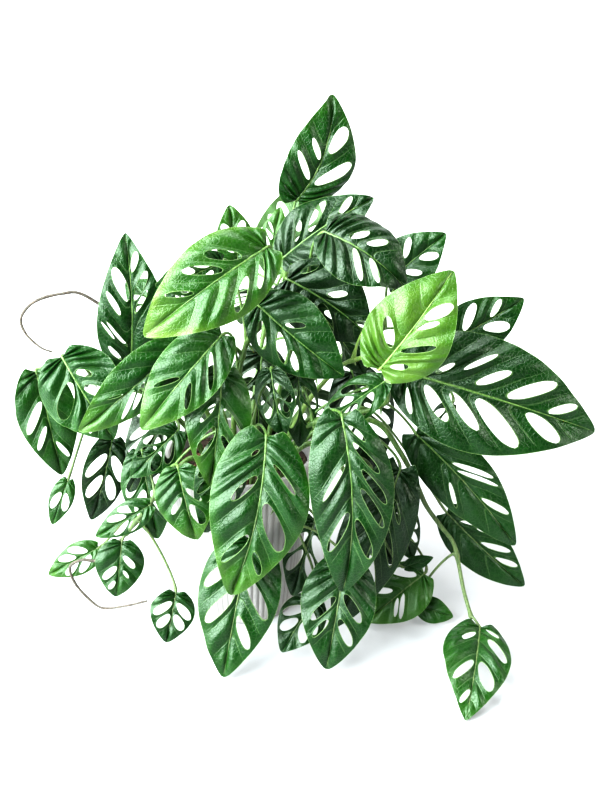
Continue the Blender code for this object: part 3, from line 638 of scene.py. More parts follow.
class Blade:
    """One leaf blade: the frame, holes and bend of its solid, and the finer mesh made from them."""

    def __init__(self, leaf: Leaf, seed: str, tones: tuple):
        self.leaf = leaf
        self.tones = tones
        self.random = random.Random(seed)
        self.length = (leaf.tip - leaf.heel).length
        self.half = leaf.width * MM / 2
        self.ahead = (leaf.tip - leaf.heel).normalized()
        facing = leaf.facing or VIEW_FROM - (leaf.heel + leaf.tip) / 2
        face = (facing - facing.dot(self.ahead) * self.ahead).normalized()
        side = face.cross(self.ahead)
        turn = math.radians(leaf.roll)
        self.side = side * math.cos(turn) + face * math.sin(turn)
        self.face = self.ahead.cross(self.side)
        self.phase = self.random.uniform(0, math.tau)
        self.holes = self.separate(self.seen_holes() + self.bay_holes())
        self.columns = 8 if leaf.width >= WIDE_BLADE else 6
        least = 7 if leaf.width >= WIDE_BLADE else 6 if leaf.width >= SMALL_BLADE else 5
        knots = {side: self.knots(side) for side in (-1, 1)}
        self.bays = max(least, *(len(found) - 1 for found in knots.values()))
        self.veins = {side: self.filled(knots[side], side) for side in (-1, 1)}

    def seen_holes(self) -> list:
        """The holes that the photo shows: each is [side, u, v, du, dv]."""
        holes = []
        for spot in self.leaf.holes:
            ray = sight(spot.x, spot.y)
            away = (self.leaf.heel - VIEW_FROM).dot(self.face) / ray.dot(self.face)
            place = VIEW_FROM + ray * away - self.leaf.heel
            along = place.dot(self.ahead) / self.length
            bow = self.leaf.sway * self.length * 4 * along * (1 - along)
            across = (place.dot(self.side) - bow) / self.half
            holes.append(self.hole(along, across, *spot.size.value))
        return holes

    def bay_holes(self) -> list:
        """Holes in regular bays on both sides of the midrib, for a leaf that shows less."""
        holes = []
        for side in (-1, 1):
            for bay in range(self.leaf.bays):
                along = BAYS_FROM + BAYS_SPAN * (bay + 0.5) / self.leaf.bays
                along += self.random.uniform(-BAY_SHIFT, BAY_SHIFT)
                gape = min(BAY_HOLE_GAPE * self.length / self.leaf.bays, MOST_GAPE)
                reach = BAY_HOLE_REACH * self.half
                holes.append(self.hole(along, side * BAY_HOLE_OUT, reach, gape))
        return holes

    def hole(self, along: float, across: float, reach: float, gape: float) -> list:
        """One hole, from a flat point and its half sizes in metres."""
        along = min(max(along, HOLE_ALONG[0]), HOLE_ALONG[1])
        u, v = vein_through(along, across)
        step = 0.01
        along_per_u = (blade_point(u + step, v)[0] - blade_point(u - step, v)[0]) / (2 * step)
        across_per_v = margin(u)[1] * self.half
        dv = min(reach / across_per_v, (1 - 2 * HOLE_MARGIN) / 2)
        v = min(max(v, HOLE_MARGIN + dv), 1 - HOLE_MARGIN - dv)
        return [math.copysign(1, across), u, v, gape / self.length / along_per_u, dv]

    def separate(self, holes: list) -> list:
        """Narrows neighbouring holes until a bridge of leaf stands between them."""
        for i, one in enumerate(holes):
            for other in holes[i + 1 :]:
                apart = abs(one[1] - other[1])
                beside = abs(one[2] - other[2]) < one[4] + other[4] + HOLE_BESIDE
                if one[0] == other[0] and beside and apart < one[3] + other[3] + HOLE_BRIDGE:
                    share = max(apart - HOLE_BRIDGE, 0) / (one[3] + other[3])
                    one[3] *= share
                    other[3] *= share
        return [hole for hole in holes if hole[3] * self.length > LEAST_HOLE]

    def knots(self, side: int) -> list:
        """The u of side veins on one side, placed so that every hole lies between two of them."""
        groups = []
        for _, u, _, du, _ in sorted(hole for hole in self.holes if hole[0] == side):
            if groups and u - du < groups[-1][1]:
                groups[-1][1] = max(groups[-1][1], u + du)
            else:
                groups.append([u - du, u + du])
        found, pad, reached = [0.0], KNOT_PAD, None
        for low, high in groups:
            if reached is None:
                found += [low - pad] if low > 2 * pad else []
            elif low - reached > 4 * pad:
                found += [reached + pad, low - pad]
            else:
                found.append((reached + low) / 2)
            reached = high
        if reached is not None and reached + pad < 0.98:
            found.append(reached + pad)
        return found + [1.0]

    def filled(self, knots: list, side: int) -> list:
        """Splits the widest bays without a hole until both sides have as many."""
        knots = list(knots)
        centres = [hole[1] for hole in self.holes if hole[0] == side]
        while len(knots) - 1 < self.bays:
            widths = [
                (b - a) * (HELD_BAY if any(a < centre < b for centre in centres) else 1)
                for a, b in zip(knots, knots[1:])
            ]
            widest = int(np.argmax(widths))
            knots.insert(widest + 1, (knots[widest] + knots[widest + 1]) / 2)
        return knots

    def bend(self, along, across) -> np.ndarray:
        """Arches the flat blade along, folds it up beside the midrib and waves its margin."""
        leaf = self.leaf
        along, across = np.atleast_1d(along).astype(float), np.atleast_1d(across).astype(float)
        part = np.clip(along, 0, 1)
        hump = 4 * part * (1 - part)
        rise = math.tan(math.radians(leaf.fold)) * self.half
        lift = leaf.arch * self.length * hump
        lift = lift + rise * (np.abs(across) - 1.3 * across**2)
        lift = lift + 0.07 * self.half * across**2 * np.sin(9 * part + self.phase + across)
        aside = across * self.half + leaf.sway * self.length * hump
        ahead, side, face = (np.array(axis) for axis in (self.ahead, self.side, self.face))
        points = np.array(leaf.heel) + np.outer(along * self.length, ahead)
        return points + np.outer(aside, side) + np.outer(lift, face)

    def lattice(self) -> tuple:
        """The grid's points before any hole: their rows, columns, sides, u and v."""
        rows = ROWS * self.bays
        across = 2 * self.columns + 1
        row, column = np.divmod(np.arange((rows + 1) * across), across)
        column = column - self.columns
        side = np.where(column < 0, -1, 1)
        v = np.abs(column) / self.columns
        bay = row / ROWS
        scale = np.arange(self.bays + 1)
        u_left = np.interp(bay, scale, self.veins[-1])
        u_right = np.interp(bay, scale, self.veins[1])
        own = np.where(side < 0, u_left, u_right)
        u = own + ((u_left + u_right) / 2 - own) * (1 - ease(v, 0, 0.3))
        return row, column, side, u, v

    def open_holes(self, row, column, u, v) -> tuple:
        """Moves the grid's points round each hole on to its edge, and names the faces inside."""
        inside = []
        taken = set()
        for side, hole_u, hole_v, du, dv in self.holes:
            bay = int(np.searchsorted(self.veins[int(side)], hole_u)) - 1
            first = max(round((hole_v - dv) * self.columns), 1)
            last = min(max(round((hole_v + dv) * self.columns), first + 2), self.columns - 1)
            first = min(first, last - 2)
            while first > 0 and any((side, bay, c) in taken for c in range(first, last + 1)):
                first += 1
                if last - first < 2:
                    last += 1
                if last > self.columns - 1:
                    first = 0
            if first < 1:
                continue
            taken |= {(side, bay, c) for c in range(first, last + 1)}
            low, high = bay * ROWS + 1, bay * ROWS + 3
            middle, reach = (first + last) / 2, (last - first) / 2
            here = (row >= low) & (row <= high) & (column * side >= first) & (column * side <= last)
            ahead = (row - (low + high) / 2) / ((high - low) / 2)
            out = (np.abs(column) - middle) / reach
            edge = here & (np.maximum(np.abs(ahead), np.abs(out)) > 0.99)
            angle = np.arctan2(out, ahead)
            knots = self.veins[int(side)]
            room = RING_ROOM * min(hole_u - knots[bay], knots[bay + 1] - hole_u)
            wide = max(min(RING_SPREAD * du, room), du)
            u = np.where(edge, hole_u + wide * np.cos(angle), u)
            v = np.where(edge, hole_v + RING_SPREAD * dv * np.sin(angle), v)
            inside += [
                (r, c * int(side) if side > 0 else -c - 1)
                for r in range(low, high) for c in range(first, last)
            ]
        return u, v, set(inside)

    def flat_mesh(self) -> Object:
        """A grid laid along the side veins, with its holes opened and its tip closed."""
        row, column, side, u, v = self.lattice()
        u, v, inside = self.open_holes(row, column, u, v)
        clear_selection()
        width = 2 * self.columns
        rows = ROWS * self.bays
        bpy.ops.mesh.primitive_grid_add(x_subdivisions=width, y_subdivisions=rows, size=2)
        blade = bpy.context.object
        along, across = blade_point(u, v)
        set_coordinates(blade.data, np.column_stack([side * across, along, np.zeros(len(u))]))
        veins = np.where(
            side < 0,
            np.interp(u, self.veins[-1], np.arange(self.bays + 1)),
            np.interp(u, self.veins[1], np.arange(self.bays + 1)),
        )
        veins = veins + (row / ROWS - veins) * (1 - ease(v, 0, 0.3))
        store_values(blade.data, "bay", veins)
        store_values(blade.data, "span", side * v)
        with editing("DESELECT"):
            bpy.ops.mesh.select_mode(type="FACE")
        for face in blade.data.polygons:
            face.select = (face.index // width, face.index % width - self.columns) in inside
        with editing(""):
            bpy.ops.mesh.delete(type="FACE")
            bpy.ops.mesh.select_mode(type="VERT")
        with editing():
            bpy.ops.mesh.remove_doubles(threshold=MERGE)
        rounder = blade.modifiers.new("rounder", "SUBSURF")
        rounder.levels = rounder.render_levels = 1
        apply_modifiers(blade)
        return blade

    def relief(self, along, across, bay, span) -> np.ndarray:
        """How far the blade's surface stands up: pleats between its side veins, grooves on them."""
        out = np.abs(span)
        part = bay - np.floor(bay)
        near = np.minimum(part, 1 - part)
        scale = min(self.half / RELIEF_HALF, MOST_RELIEF)
        envelope = np.sin(np.pi * np.clip(out, 0, 1) ** 0.85) * 0.85 + 0.30 * out
        tip = 1 - ease(along, 0.82, 1.0)
        pleat = PLEAT * scale * (0.5 - 0.5 * np.cos(math.tau * part)) * envelope * tip
        groove = -GROOVE * scale * np.exp(-((near / GROOVE_WIDTH) ** 2)) * (1 - out**2) * tip
        rib = -RIB * scale * np.exp(-((np.abs(across) / RIB_WIDTH) ** 2))
        wave = WAVE * scale * np.array(
            [noise.noise(Vector((3.1 * a, 2.3 * c, self.phase))) for a, c in zip(along, across)]
        )
        return pleat + groove + rib + wave * ease(out, 0.05, 0.6)

    def mesh_object(self) -> Object:
        """The finished blade, bent, pleated and given its thickness, as a mesh object."""
        blade = self.flat_mesh()
        flat = coordinates(blade.data)
        across, along = flat[:, 0], flat[:, 1]
        bay, span = read_values(blade.data, "bay"), read_values(blade.data, "span")
        store_values(blade.data, "rim", self.edge_points(blade.data))
        points = self.bend(along, across)
        points += np.outer(self.relief(along, across, bay, span), np.array(self.face))
        set_coordinates(blade.data, inside_box(points))
        body, tip = self.tones
        towards = ease(along, 0.5, 1.0) + 0.5 * ease(np.abs(span), 0.75, 1.0)
        store_values(blade.data, "tone", body + (tip - body) * np.clip(towards, 0, 1))
        self.unwrap(blade.data, bay, span)
        thick = blade.modifiers.new("thick", "SOLIDIFY")
        thick.thickness = SHEET
        thick.offset = 0
        apply_modifiers(blade)
        shade(50)
        normals = np.empty(len(blade.data.vertices) * 3, np.float32)
        blade.data.vertex_normals.foreach_get("vector", normals)
        store_values(blade.data, "under", normals.reshape(-1, 3) @ np.array(self.face) < 0)
        return blade

    def edge_points(self, mesh: Mesh) -> np.ndarray:
        """1 at the points of the blade's margin and of its holes' edges, and 0 elsewhere."""
        edges = np.empty(len(mesh.edges) * 2, np.int32)
        mesh.edges.foreach_get("vertices", edges)
        used = np.empty(len(mesh.loops), np.int32)
        mesh.loops.foreach_get("edge_index", used)
        single = np.bincount(used, minlength=len(mesh.edges)) == 1
        rim = np.zeros(len(mesh.vertices))
        rim[edges.reshape(-1, 2)[single].ravel()] = 1
        return rim

    def unwrap(self, mesh: Mesh, bay: np.ndarray, span: np.ndarray) -> None:
        """Lays the blade out with its side veins at whole numbers of V and its midrib at 0 of U."""
        layer = mesh.uv_layers.active or mesh.uv_layers.new(name="veins")
        layer.name = "veins"
        corners = np.empty(len(mesh.loops), np.int32)
        mesh.loops.foreach_get("vertex_index", corners)
        places = np.column_stack([span, bay])[corners]
        layer.data.foreach_set("uv", places.astype(np.float32).ravel())


def rod(path: list, radii: list, name: str, sides: int = 2) -> Object:
    """A round rod of changing thickness along a path of points, closed at both ends."""
    clear_selection()
    bpy.ops.curve.primitive_nurbs_path_add(location=(0, 0, 0))
    guide = bpy.context.object
    guide.name = name
    curve = guide.data
    curve.splines.clear()
    curve.dimensions = "3D"
    curve.bevel_depth = 1.0
    curve.bevel_resolution = sides
    curve.use_fill_caps = True
    spline = curve.splines.new("POLY")
    spline.points.add(len(path) - 1)
    for place, point, radius in zip(spline.points, path, radii):
        place.co = (*point, 1)
        place.radius = radius
    bpy.ops.object.convert(target="MESH")
    thing = bpy.context.object
    shade(50)
    return thing


@dataclass
class LeafyStem:
    """A vine's two pieces: its blades, and its stem with petioles, ribs and roots."""

    vine: Vine
    foliage: Material
    wood: Material

    def path(self, steps: int) -> list:
        """The stem's middle line: straight up out of the soil, then through its points."""
        (x, y), *others = self.vine.stem
        foot = at(x, y, 0)
        foot.z = SOIL_TOP - STEM_DEPTH + GAP
        collar = Vector((foot.x, foot.y, SOIL_TOP + 0.006))
        return [foot] + smooth([collar] + [at(*point) for point in others], steps)

    def petiole(self, start: Vector, blade: Blade) -> tuple:
        """The path and radii of a petiole that runs on as the midrib under its blade."""
        heel = blade.leaf.heel
        reach = min((heel - start).length * 0.45, PETIOLE_REACH)
        lift = start + Vector((0, 0, 1)) * reach * 0.7 + (heel - start) * 0.15
        back = heel - blade.ahead * reach * 0.35 - blade.face * reach * 0.55
        curve = interpolate_bezier(start, lift, back, heel, PETIOLE_STEPS)
        path = [Vector(point) for point in curve]
        radii = []
        for i in range(len(path)):
            share = i / (len(path) - 1)
            sheath = 0.9 * (1 - float(ease(share, 0.0, 0.22)))
            joint = 0.32 * math.exp(-(((share - 0.93) / 0.05) ** 2))
            radii.append(PETIOLE_RADIUS * (0.92 + sheath + joint))
        slim = min(blade.half / RELIEF_HALF, 1.0)
        for share in np.linspace(0.035, 0.96, MIDRIB_STEPS):
            point = Vector(blade.bend(share, 0)[0]) - blade.face * (0.35 + 0.35 * (1 - share)) * MM
            point.z = max(point.z, LOWEST_BLADE + 0.0004)
            path.append(point)
            radii.append(PETIOLE_RADIUS * (0.18 + 0.72 * (1 - share) ** 1.2) * (0.5 + 0.5 * slim))
        return path, radii

    def build(self) -> None:
        """Makes both pieces and hides the solid that they stand for."""
        vine = self.vine
        coarse, fine = self.path(2), self.path(8)
        last = len(coarse) - 1
        blades, rods, nodes = [], [], []
        for i, leaf in enumerate(vine.leaves):
            share = vine.first_leaf + (1 - vine.first_leaf) * (i + 1) / len(vine.leaves)
            start = coarse[min(round(share * last), last)]
            nodes.append(start)
            blade = Blade(leaf, f"{vine.name} {i}", vine.tones[i])
            blades.append(blade.mesh_object())
            rods.append(rod(*self.petiole(start, blade), "petiole"))
        rods.append(rod(fine, self.stem_radii(fine, nodes), "stem", 4))
        for root in vine.roots:
            rods.append(self.root(root))
        rods += self.nubs(nodes)
        slot = "foliage_lime" if vine.young else "foliage"
        finished(joined(blades, vine.name + "_blades"), self.foliage, slot, vine.name)
        stems = joined(rods, vine.name + "_stems")
        self.tint(stems)
        finished(stems, self.wood, slot, vine.name)

    def stem_radii(self, path: list, nodes: list) -> list:
        """The stem's radius at each point: a swelling at each petiole, slow waves between."""
        radii = []
        for i, point in enumerate(path):
            swell = sum(
                0.30 * math.exp(-(((point - node).length / SWELL_REACH) ** 2)) for node in nodes
            )
            slow = 0.07 * noise.noise(point * 90)
            taper = 1 - STEM_TAPER * i / len(path)
            radii.append(STEM_RADIUS * (taper + min(swell, 0.35) + slow))
        return radii

    def root(self, points: tuple) -> Object:
        """An aerial root that thins towards its end."""
        path = smooth(list(points), ROOT_STEPS)
        radii = [
            ROOT_RADIUS * (1.05 - 0.45 * (i / len(path)) ** 2 + 0.16 * noise.noise(point * 160))
            for i, point in enumerate(path)
        ]
        return rod(path, radii, "root", 3)

    def nubs(self, nodes: list) -> list:
        """Short brown root buds under the stem's nodes."""
        chance = random.Random(self.vine.name + " nubs")
        made = []
        for node in nodes:
            turn = chance.uniform(0, math.tau)
            length = chance.uniform(0.004, 0.009)
            out = Vector((math.cos(turn), math.sin(turn), -0.9)).normalized()
            path = [node + out * length * t + Vector((0, 0, -0.0015 * t * t))
                    for t in (0, 0.35, 0.7, 1)]
            made.append(rod(path, [ROOT_RADIUS * r for r in (0.9, 0.75, 0.55, 0.25)], "nub", 1))
        return made

    def tint(self, stems: Object) -> None:
        """Keeps how brown each point is: roots and the foot of the stem are, petioles are green."""
        points = coordinates(stems.data)
        brown = 0.35 * (1 - ease(points[:, 2], SOIL_TOP, SOIL_TOP + 0.03))
        for root in self.vine.roots:
            path = np.array([tuple(point) for point in smooth(list(root), ROOT_STEPS)])
            near = np.min(np.linalg.norm(points[:, None, :] - path[None, 2:, :], axis=2), axis=1)
            brown = np.maximum(brown, near < 1.9 * ROOT_RADIUS)
        store_values(stems.data, "brown", brown)


def lathe(profile: list, sides: int, name: str) -> Object:
    """A closed solid of revolution about Z: a ring extruded along an (x, z) profile."""
    clear_selection()
    (radius, height), *others = profile
    bpy.ops.mesh.primitive_circle_add(vertices=sides, radius=radius, location=(0, 0, 0))
    thing = bpy.context.object
    thing.name = name
    with editing():
        bpy.ops.transform.translate(value=(0, 0, height))
        bpy.ops.mesh.edge_face_add()
        for next_radius, next_height in others:
            bpy.ops.mesh.extrude_region_move()
            wider = next_radius / radius
            bpy.ops.transform.resize(value=(wider, wider, 1), center_override=(0, 0, 0))
            bpy.ops.transform.translate(value=(0, 0, next_height - height))
            radius, height = next_radius, next_height
    with editing():
        bpy.ops.mesh.normals_make_consistent(inside=False)
    return thing


def pot_inside(z: float) -> float:
    """The radius of the pot's inner wall at this height."""
    foot = POT_BASE_RADIUS - POT_WALL
    share = (z - POT_FLOOR) / (POT_HEIGHT - POT_FLOOR)
    return foot + (POT_RIM_RADIUS - POT_WALL - foot) * share


@dataclass
class Pot:
    """The tapered pot: fine flutes from foot to rim, a soft rim and a slightly drawn-in foot."""

    finish: Material
    band: float = 0.0034
    rim_round: float = 0.0016

    def outside(self, z: float) -> float:
        """The radius of the outer wall at this height, on the flutes' crests."""
        return POT_BASE_RADIUS + (POT_RIM_RADIUS - POT_BASE_RADIUS) * z / POT_HEIGHT

    def profile(self) -> list:
        """From the middle of the floor inside, up over the rim and down to the foot."""
        top, edge = POT_HEIGHT, self.rim_round
        inner = pot_inside(top)
        points = [(0.002, POT_FLOOR), (pot_inside(POT_FLOOR) - 0.002, POT_FLOOR)]
        points += [(pot_inside(z), z) for z in (POT_FLOOR + 0.002, 0.06, 0.12, 0.145)]
        for i in range(7):
            turn = math.pi / 2 * i / 6
            points.append((inner + edge * (1 - math.cos(turn)), top - edge + edge * math.sin(turn)))
        for i in range(7):
            turn = math.pi / 2 * (1 - i / 6)
            middle = self.outside(top - edge) - edge
            points.append((middle + edge * math.cos(turn), top - edge + edge * math.sin(turn)))
        heights = [top - self.band, top - self.band - 0.0008, top - self.band - 0.0024]
        heights += list(np.linspace(top - 0.012, 0.012, 14))
        heights += [self.band + 0.0024, self.band + 0.0008, self.band]
        points += [(self.outside(z), z) for z in heights]
        points += [(self.outside(0.0012), 0.0012), (POT_BASE_RADIUS - 0.0006, 0.0003),
                   (POT_BASE_RADIUS - 0.0014, 0.0), (0.002, 0.0)]
        return points

    def build(self) -> None:
        """Turns the pot, presses the flutes in and shades it."""
        pot = lathe(self.profile(), FLUTES * FLUTE_SIDES, "fluted_pot")
        points = coordinates(pot.data)
        radius = np.hypot(points[:, 0], points[:, 1])
        angle = np.arctan2(points[:, 1], points[:, 0])
        z = points[:, 2]
        wall = radius > self.outside(z) - 0.0004
        fluted = POT_HEIGHT - self.band
        share = ease(z, self.band, self.band + 0.0030) * (1 - ease(z, fluted - 0.003, fluted))
        flute = np.abs(np.sin(FLUTES * angle / 2)) ** 0.8
        depth = FLUTE_DEPTH * (1 - flute) * share * wall
        scale = 1 - depth / np.maximum(radius, 1e-6)
        points[:, 0] *= scale
        points[:, 1] *= scale
        set_coordinates(pot.data, points)
        # The flutes' depth, kept for the painted shade that darkens the grooves
        store_values(pot.data, "groove", depth / FLUTE_DEPTH)
        activate(pot)
        shade(60)
        finished(pot, self.finish, "pot", "pot")


@dataclass
class Soil:
    """The soil that fills the pot: an uneven crumbly top, with crumbs and bark chips on it."""

    finish: Material
    bark: Material
    seed: int = 7
    crumbs: int = 150
    chips: int = 46
    sides: int = 96
    rings: int = 26
    ring_step: float = 0.0021

    def surface(self, x: float, y: float) -> float:
        """The height of the soil's top at a point, close to that of the solid."""
        radius = math.hypot(x, y) / pot_inside(SOIL_TOP)
        swell = SOIL_RELIEF * math.sin(170 * x + 1) * math.sin(140 * y + 2)
        clods = 0.0011 * noise.noise(Vector((x, y, 0.3)) * 260)
        clods += 0.0006 * noise.noise(Vector((x, y, 0)) * 700)
        return SOIL_TOP + swell + clods - 0.002 * float(ease(radius, 0.8, 1.0))

    def build(self) -> None:
        """Makes the soil's body and what lies on it."""
        clear_selection()
        top = pot_inside(SOIL_TOP)
        reach = top - 2 * GAP
        bpy.ops.mesh.primitive_circle_add(vertices=self.sides, radius=reach, fill_type="NGON")
        soil = bpy.context.object
        with editing():
            for _ in range(self.rings):
                bpy.ops.mesh.inset(thickness=self.ring_step)
        points = coordinates(soil.data)
        points[:, 2] = [self.surface(x, y) for x, y, _ in points]
        set_coordinates(soil.data, points)
        with editing():
            bpy.ops.mesh.region_to_loop()
            for depth in (0.010, SOIL_TOP - 0.012 - POT_FLOOR - GAP):
                bpy.ops.mesh.extrude_region_move(TRANSFORM_OT_translate={"value": (0, 0, -depth)})
            foot = pot_inside(POT_FLOOR) / top - 0.01
            bpy.ops.transform.resize(value=(foot, foot, 1), center_override=(0, 0, 0))
            bpy.ops.mesh.edge_face_add()
        with editing():
            bpy.ops.mesh.normals_make_consistent(inside=False)
        shade(60)
        finished(joined([soil], "potting_mix"), self.finish, "soil", "soil")
        noise.seed_set(self.seed)  # or noise_vector would follow the clock
        finished(joined(self.scatter("crumb", self.crumbs), "soil_crumbs"), self.finish, "soil")
        finished(joined(self.scatter("chip", self.chips), "bark_chips"), self.bark, "soil")

    def scatter(self, kind: str, count: int) -> list:
        """Small lumps or chips that lie on the soil, each of its own shape."""
        chance = random.Random(f"{self.seed} {kind}")
        made = []
        for i in range(count):
            reach = (pot_inside(SOIL_TOP) - 0.006) * math.sqrt(chance.random())
            turn = chance.uniform(0, math.tau)
            x, y = reach * math.cos(turn), reach * math.sin(turn)
            clear_selection()
            if kind == "crumb":
                size = chance.uniform(0.0008, 0.0022)
                bpy.ops.mesh.primitive_ico_sphere_add(subdivisions=2, radius=size)
                stretch = (1, chance.uniform(0.6, 1), chance.uniform(0.5, 0.9))
            else:
                size = chance.uniform(0.0028, 0.0058)
                bpy.ops.mesh.primitive_cube_add(size=2 * size)
                stretch = (1, chance.uniform(0.35, 0.7), chance.uniform(0.12, 0.25))
                with editing():
                    bpy.ops.mesh.subdivide(number_cuts=3)
            lump = bpy.context.object
            points = coordinates(lump.data) * stretch
            seats = [Vector(point) * 0.8 / size + Vector((i, 0, 0)) for point in points]
            points += np.array([noise.noise_vector(seat) * size * 0.28 for seat in seats])
            yaw, tilt = chance.uniform(0, math.tau), chance.uniform(-0.3, 0.3)
            c, s = math.cos(yaw), math.sin(yaw)
            turned = points @ np.array([[c, s, 0], [-s, c, math.sin(tilt)], [0, 0, 1]])
            turned += (x, y, self.surface(x, y) + size * stretch[2] * 0.5)
            set_coordinates(lump.data, turned)
            shade(40)
            made.append(lump)
        return made


class Graph:
    """Adds nodes to one node tree and links them."""

    def __init__(self, tree: NodeTree):
        self.tree = tree

    def add(self, kind: str, settings: dict = None, **inputs) -> Node:
        """A new node.

        Args:
            kind: its type.
            settings: its properties by name.
            inputs: its inputs by name, each a number, a vector or another node's socket.
        Returns:
            The node.
        """
        node = self.tree.nodes.new(kind)
        for name, value in (settings or {}).items():
            setattr(node, name, value)
        for name, value in inputs.items():
            self.feed(node.inputs[name.replace("_", " ")], value)
        return node

    def feed(self, socket: NodeSocket, value) -> None:
        """Links a socket to another, or sets its number."""
        if isinstance(value, NodeSocket):
            self.tree.links.new(value, socket)
        elif value is not None:
            socket.default_value = value

    def math(self, operation: str, first, second=None, third=None) -> NodeSocket:
        """The result of a Math node."""
        node = self.add("ShaderNodeMath", {"operation": operation})
        for socket, value in zip(node.inputs, (first, second, third)):
            self.feed(socket, value)
        return node.outputs[0]

    def times(self, first, second, plus=None) -> NodeSocket:
        """The product of two values, with a third one added where it is given."""
        return self.math("MULTIPLY" if plus is None else "MULTIPLY_ADD", first, second, plus)

    def fade(self, value, low, high, start: float = 0.0, end: float = 1.0) -> NodeSocket:
        """A smooth map of value from low..high to start..end."""
        node = self.add("ShaderNodeMapRange", {"interpolation_type": "SMOOTHSTEP"})
        for name, given in (("Value", value), ("From Min", low), ("From Max", high),
                            ("To Min", start), ("To Max", end)):
            self.feed(node.inputs[name], given)
        return node.outputs["Result"]

    def mix(self, factor, first, second) -> NodeSocket:
        """A colour mixed from two, each a socket or (red, green, blue)."""
        node = self.add("ShaderNodeMix", {"data_type": "RGBA"})
        for place, value in ((0, factor), (6, first), (7, second)):
            self.feed(node.inputs[place], (*value, 1) if isinstance(value, tuple) else value)
        return node.outputs[2]

    def noise(self, place, scale, detail: float = 3.0, roughness: float = 0.5) -> NodeSocket:
        """A noise value, about 0.5 in the middle."""
        size = {"Scale": scale, "Detail": detail, "Roughness": roughness}
        return self.add("ShaderNodeTexNoise", Vector=place, **size).outputs["Fac"]

    def ramp(self, value, *stops: tuple) -> NodeSocket:
        """A colour picked from (place, colour) stops."""
        node = self.add("ShaderNodeValToRGB")
        self.feed(node.inputs[0], value)
        while len(node.color_ramp.elements) < len(stops):
            node.color_ramp.elements.new(0.5)
        for element, (place, colour) in zip(node.color_ramp.elements, stops):
            element.position = place
            element.color = (*colour, 1)
        return node.outputs["Color"]

    def group(self, tree: NodeTree, **inputs) -> object:
        """The outputs of a node group, by label."""
        return self.add("ShaderNodeGroup", {"node_tree": tree}, **inputs).outputs

    def named(self, attribute: str) -> NodeSocket:
        """A float attribute of the piece."""
        return self.add("ShaderNodeAttribute", {"attribute_name": attribute}).outputs["Fac"]


def new_group(name: str, takes: dict, gives: tuple) -> tuple:
    """An empty shader node group.

    Args:
        name: its name.
        takes: the kind of each input, by its label.
        gives: the labels of its outputs, all of them values.
    Returns:
        Its graph, its input node and its output node.
    """
    tree = bpy.data.node_groups.new(name, "ShaderNodeTree")
    for label, kind in takes.items():
        tree.interface.new_socket(label, in_out="INPUT", socket_type="NodeSocket" + kind)
    for label in gives:
        tree.interface.new_socket(label, in_out="OUTPUT", socket_type="NodeSocketFloat")
    graph = Graph(tree)
    return graph, graph.add("NodeGroupInput"), graph.add("NodeGroupOutput")


def leaf_pattern() -> NodeTree:
    """The group that draws a leaf's veins, its fine net and its blotches as masks."""
    labels = ("Vein", "Midrib", "Net", "Blotch", "Height")
    graph, takes, gives = new_group("leaf_pattern", {"Veins": "Vector", "Place": "Vector"}, labels)
    place = takes.outputs["Place"]
    split = graph.add("ShaderNodeSeparateXYZ", Vector=takes.outputs["Veins"])
    out = graph.math("ABSOLUTE", split.outputs["X"])
    wobble = graph.times(graph.math("SUBTRACT", graph.noise(place, 190, 2), 0.5), 0.10)
    bay = graph.math("ADD", split.outputs["Y"], graph.times(wobble, out))
    near = graph.math("ABSOLUTE", graph.math("SUBTRACT", bay, graph.math("ROUND", bay)))
    width = graph.times(out, -0.045, 0.065)
    vein = graph.math("SUBTRACT", 1.0, graph.fade(graph.math("DIVIDE", near, width), 0.25, 1.0))
    vein = graph.times(vein, graph.fade(out, 0.80, 1.0, 1.0, 0.0))
    midrib = graph.math("SUBTRACT", 1.0, graph.fade(out, 0.010, 0.042))
    feature = {"feature": "DISTANCE_TO_EDGE"}
    cells = graph.add("ShaderNodeTexVoronoi", feature, Vector=place, Scale=330.0)
    net = graph.math("SUBTRACT", 1.0, graph.fade(cells.outputs["Distance"], 0.0, 0.12))
    blotch = graph.noise(place, 42, 4, 0.6)
    rise = graph.times(graph.noise(place, 620, 3), 0.35)
    rise = graph.times(graph.noise(place, 170, 2), 1.1, rise)
    rise = graph.times(net, -0.40, rise)
    rise = graph.times(vein, -0.9, rise)
    rise = graph.times(midrib, -0.6, rise)
    for label, value in zip(labels, (vein, midrib, net, blotch, rise)):
        graph.feed(gives.inputs[label], value)
    return graph.tree


def speckle_pattern() -> NodeTree:
    """The group that makes fine grain, specks and slow stains as masks."""
    labels = ("Grain", "Specks", "Stain")
    kinds = {"Place": "Vector", "Grain": "Float"}
    graph, takes, gives = new_group("speckle_pattern", kinds, labels)
    place = takes.outputs["Place"]
    grain = graph.noise(place, takes.outputs["Grain"], 5)
    cells = graph.add("ShaderNodeTexVoronoi", Vector=place, Scale=takes.outputs["Grain"])
    specks = graph.math("SUBTRACT", 1.0, graph.fade(cells.outputs["Distance"], 0.10, 0.22))
    pick = graph.math("GREATER_THAN", graph.noise(place, 310, 1), 0.60)
    stain = graph.noise(place, 26, 4, 0.6)
    for label, value in zip(labels, (grain, graph.times(specks, pick), stain)):
        graph.feed(gives.inputs[label], value)
    return graph.tree


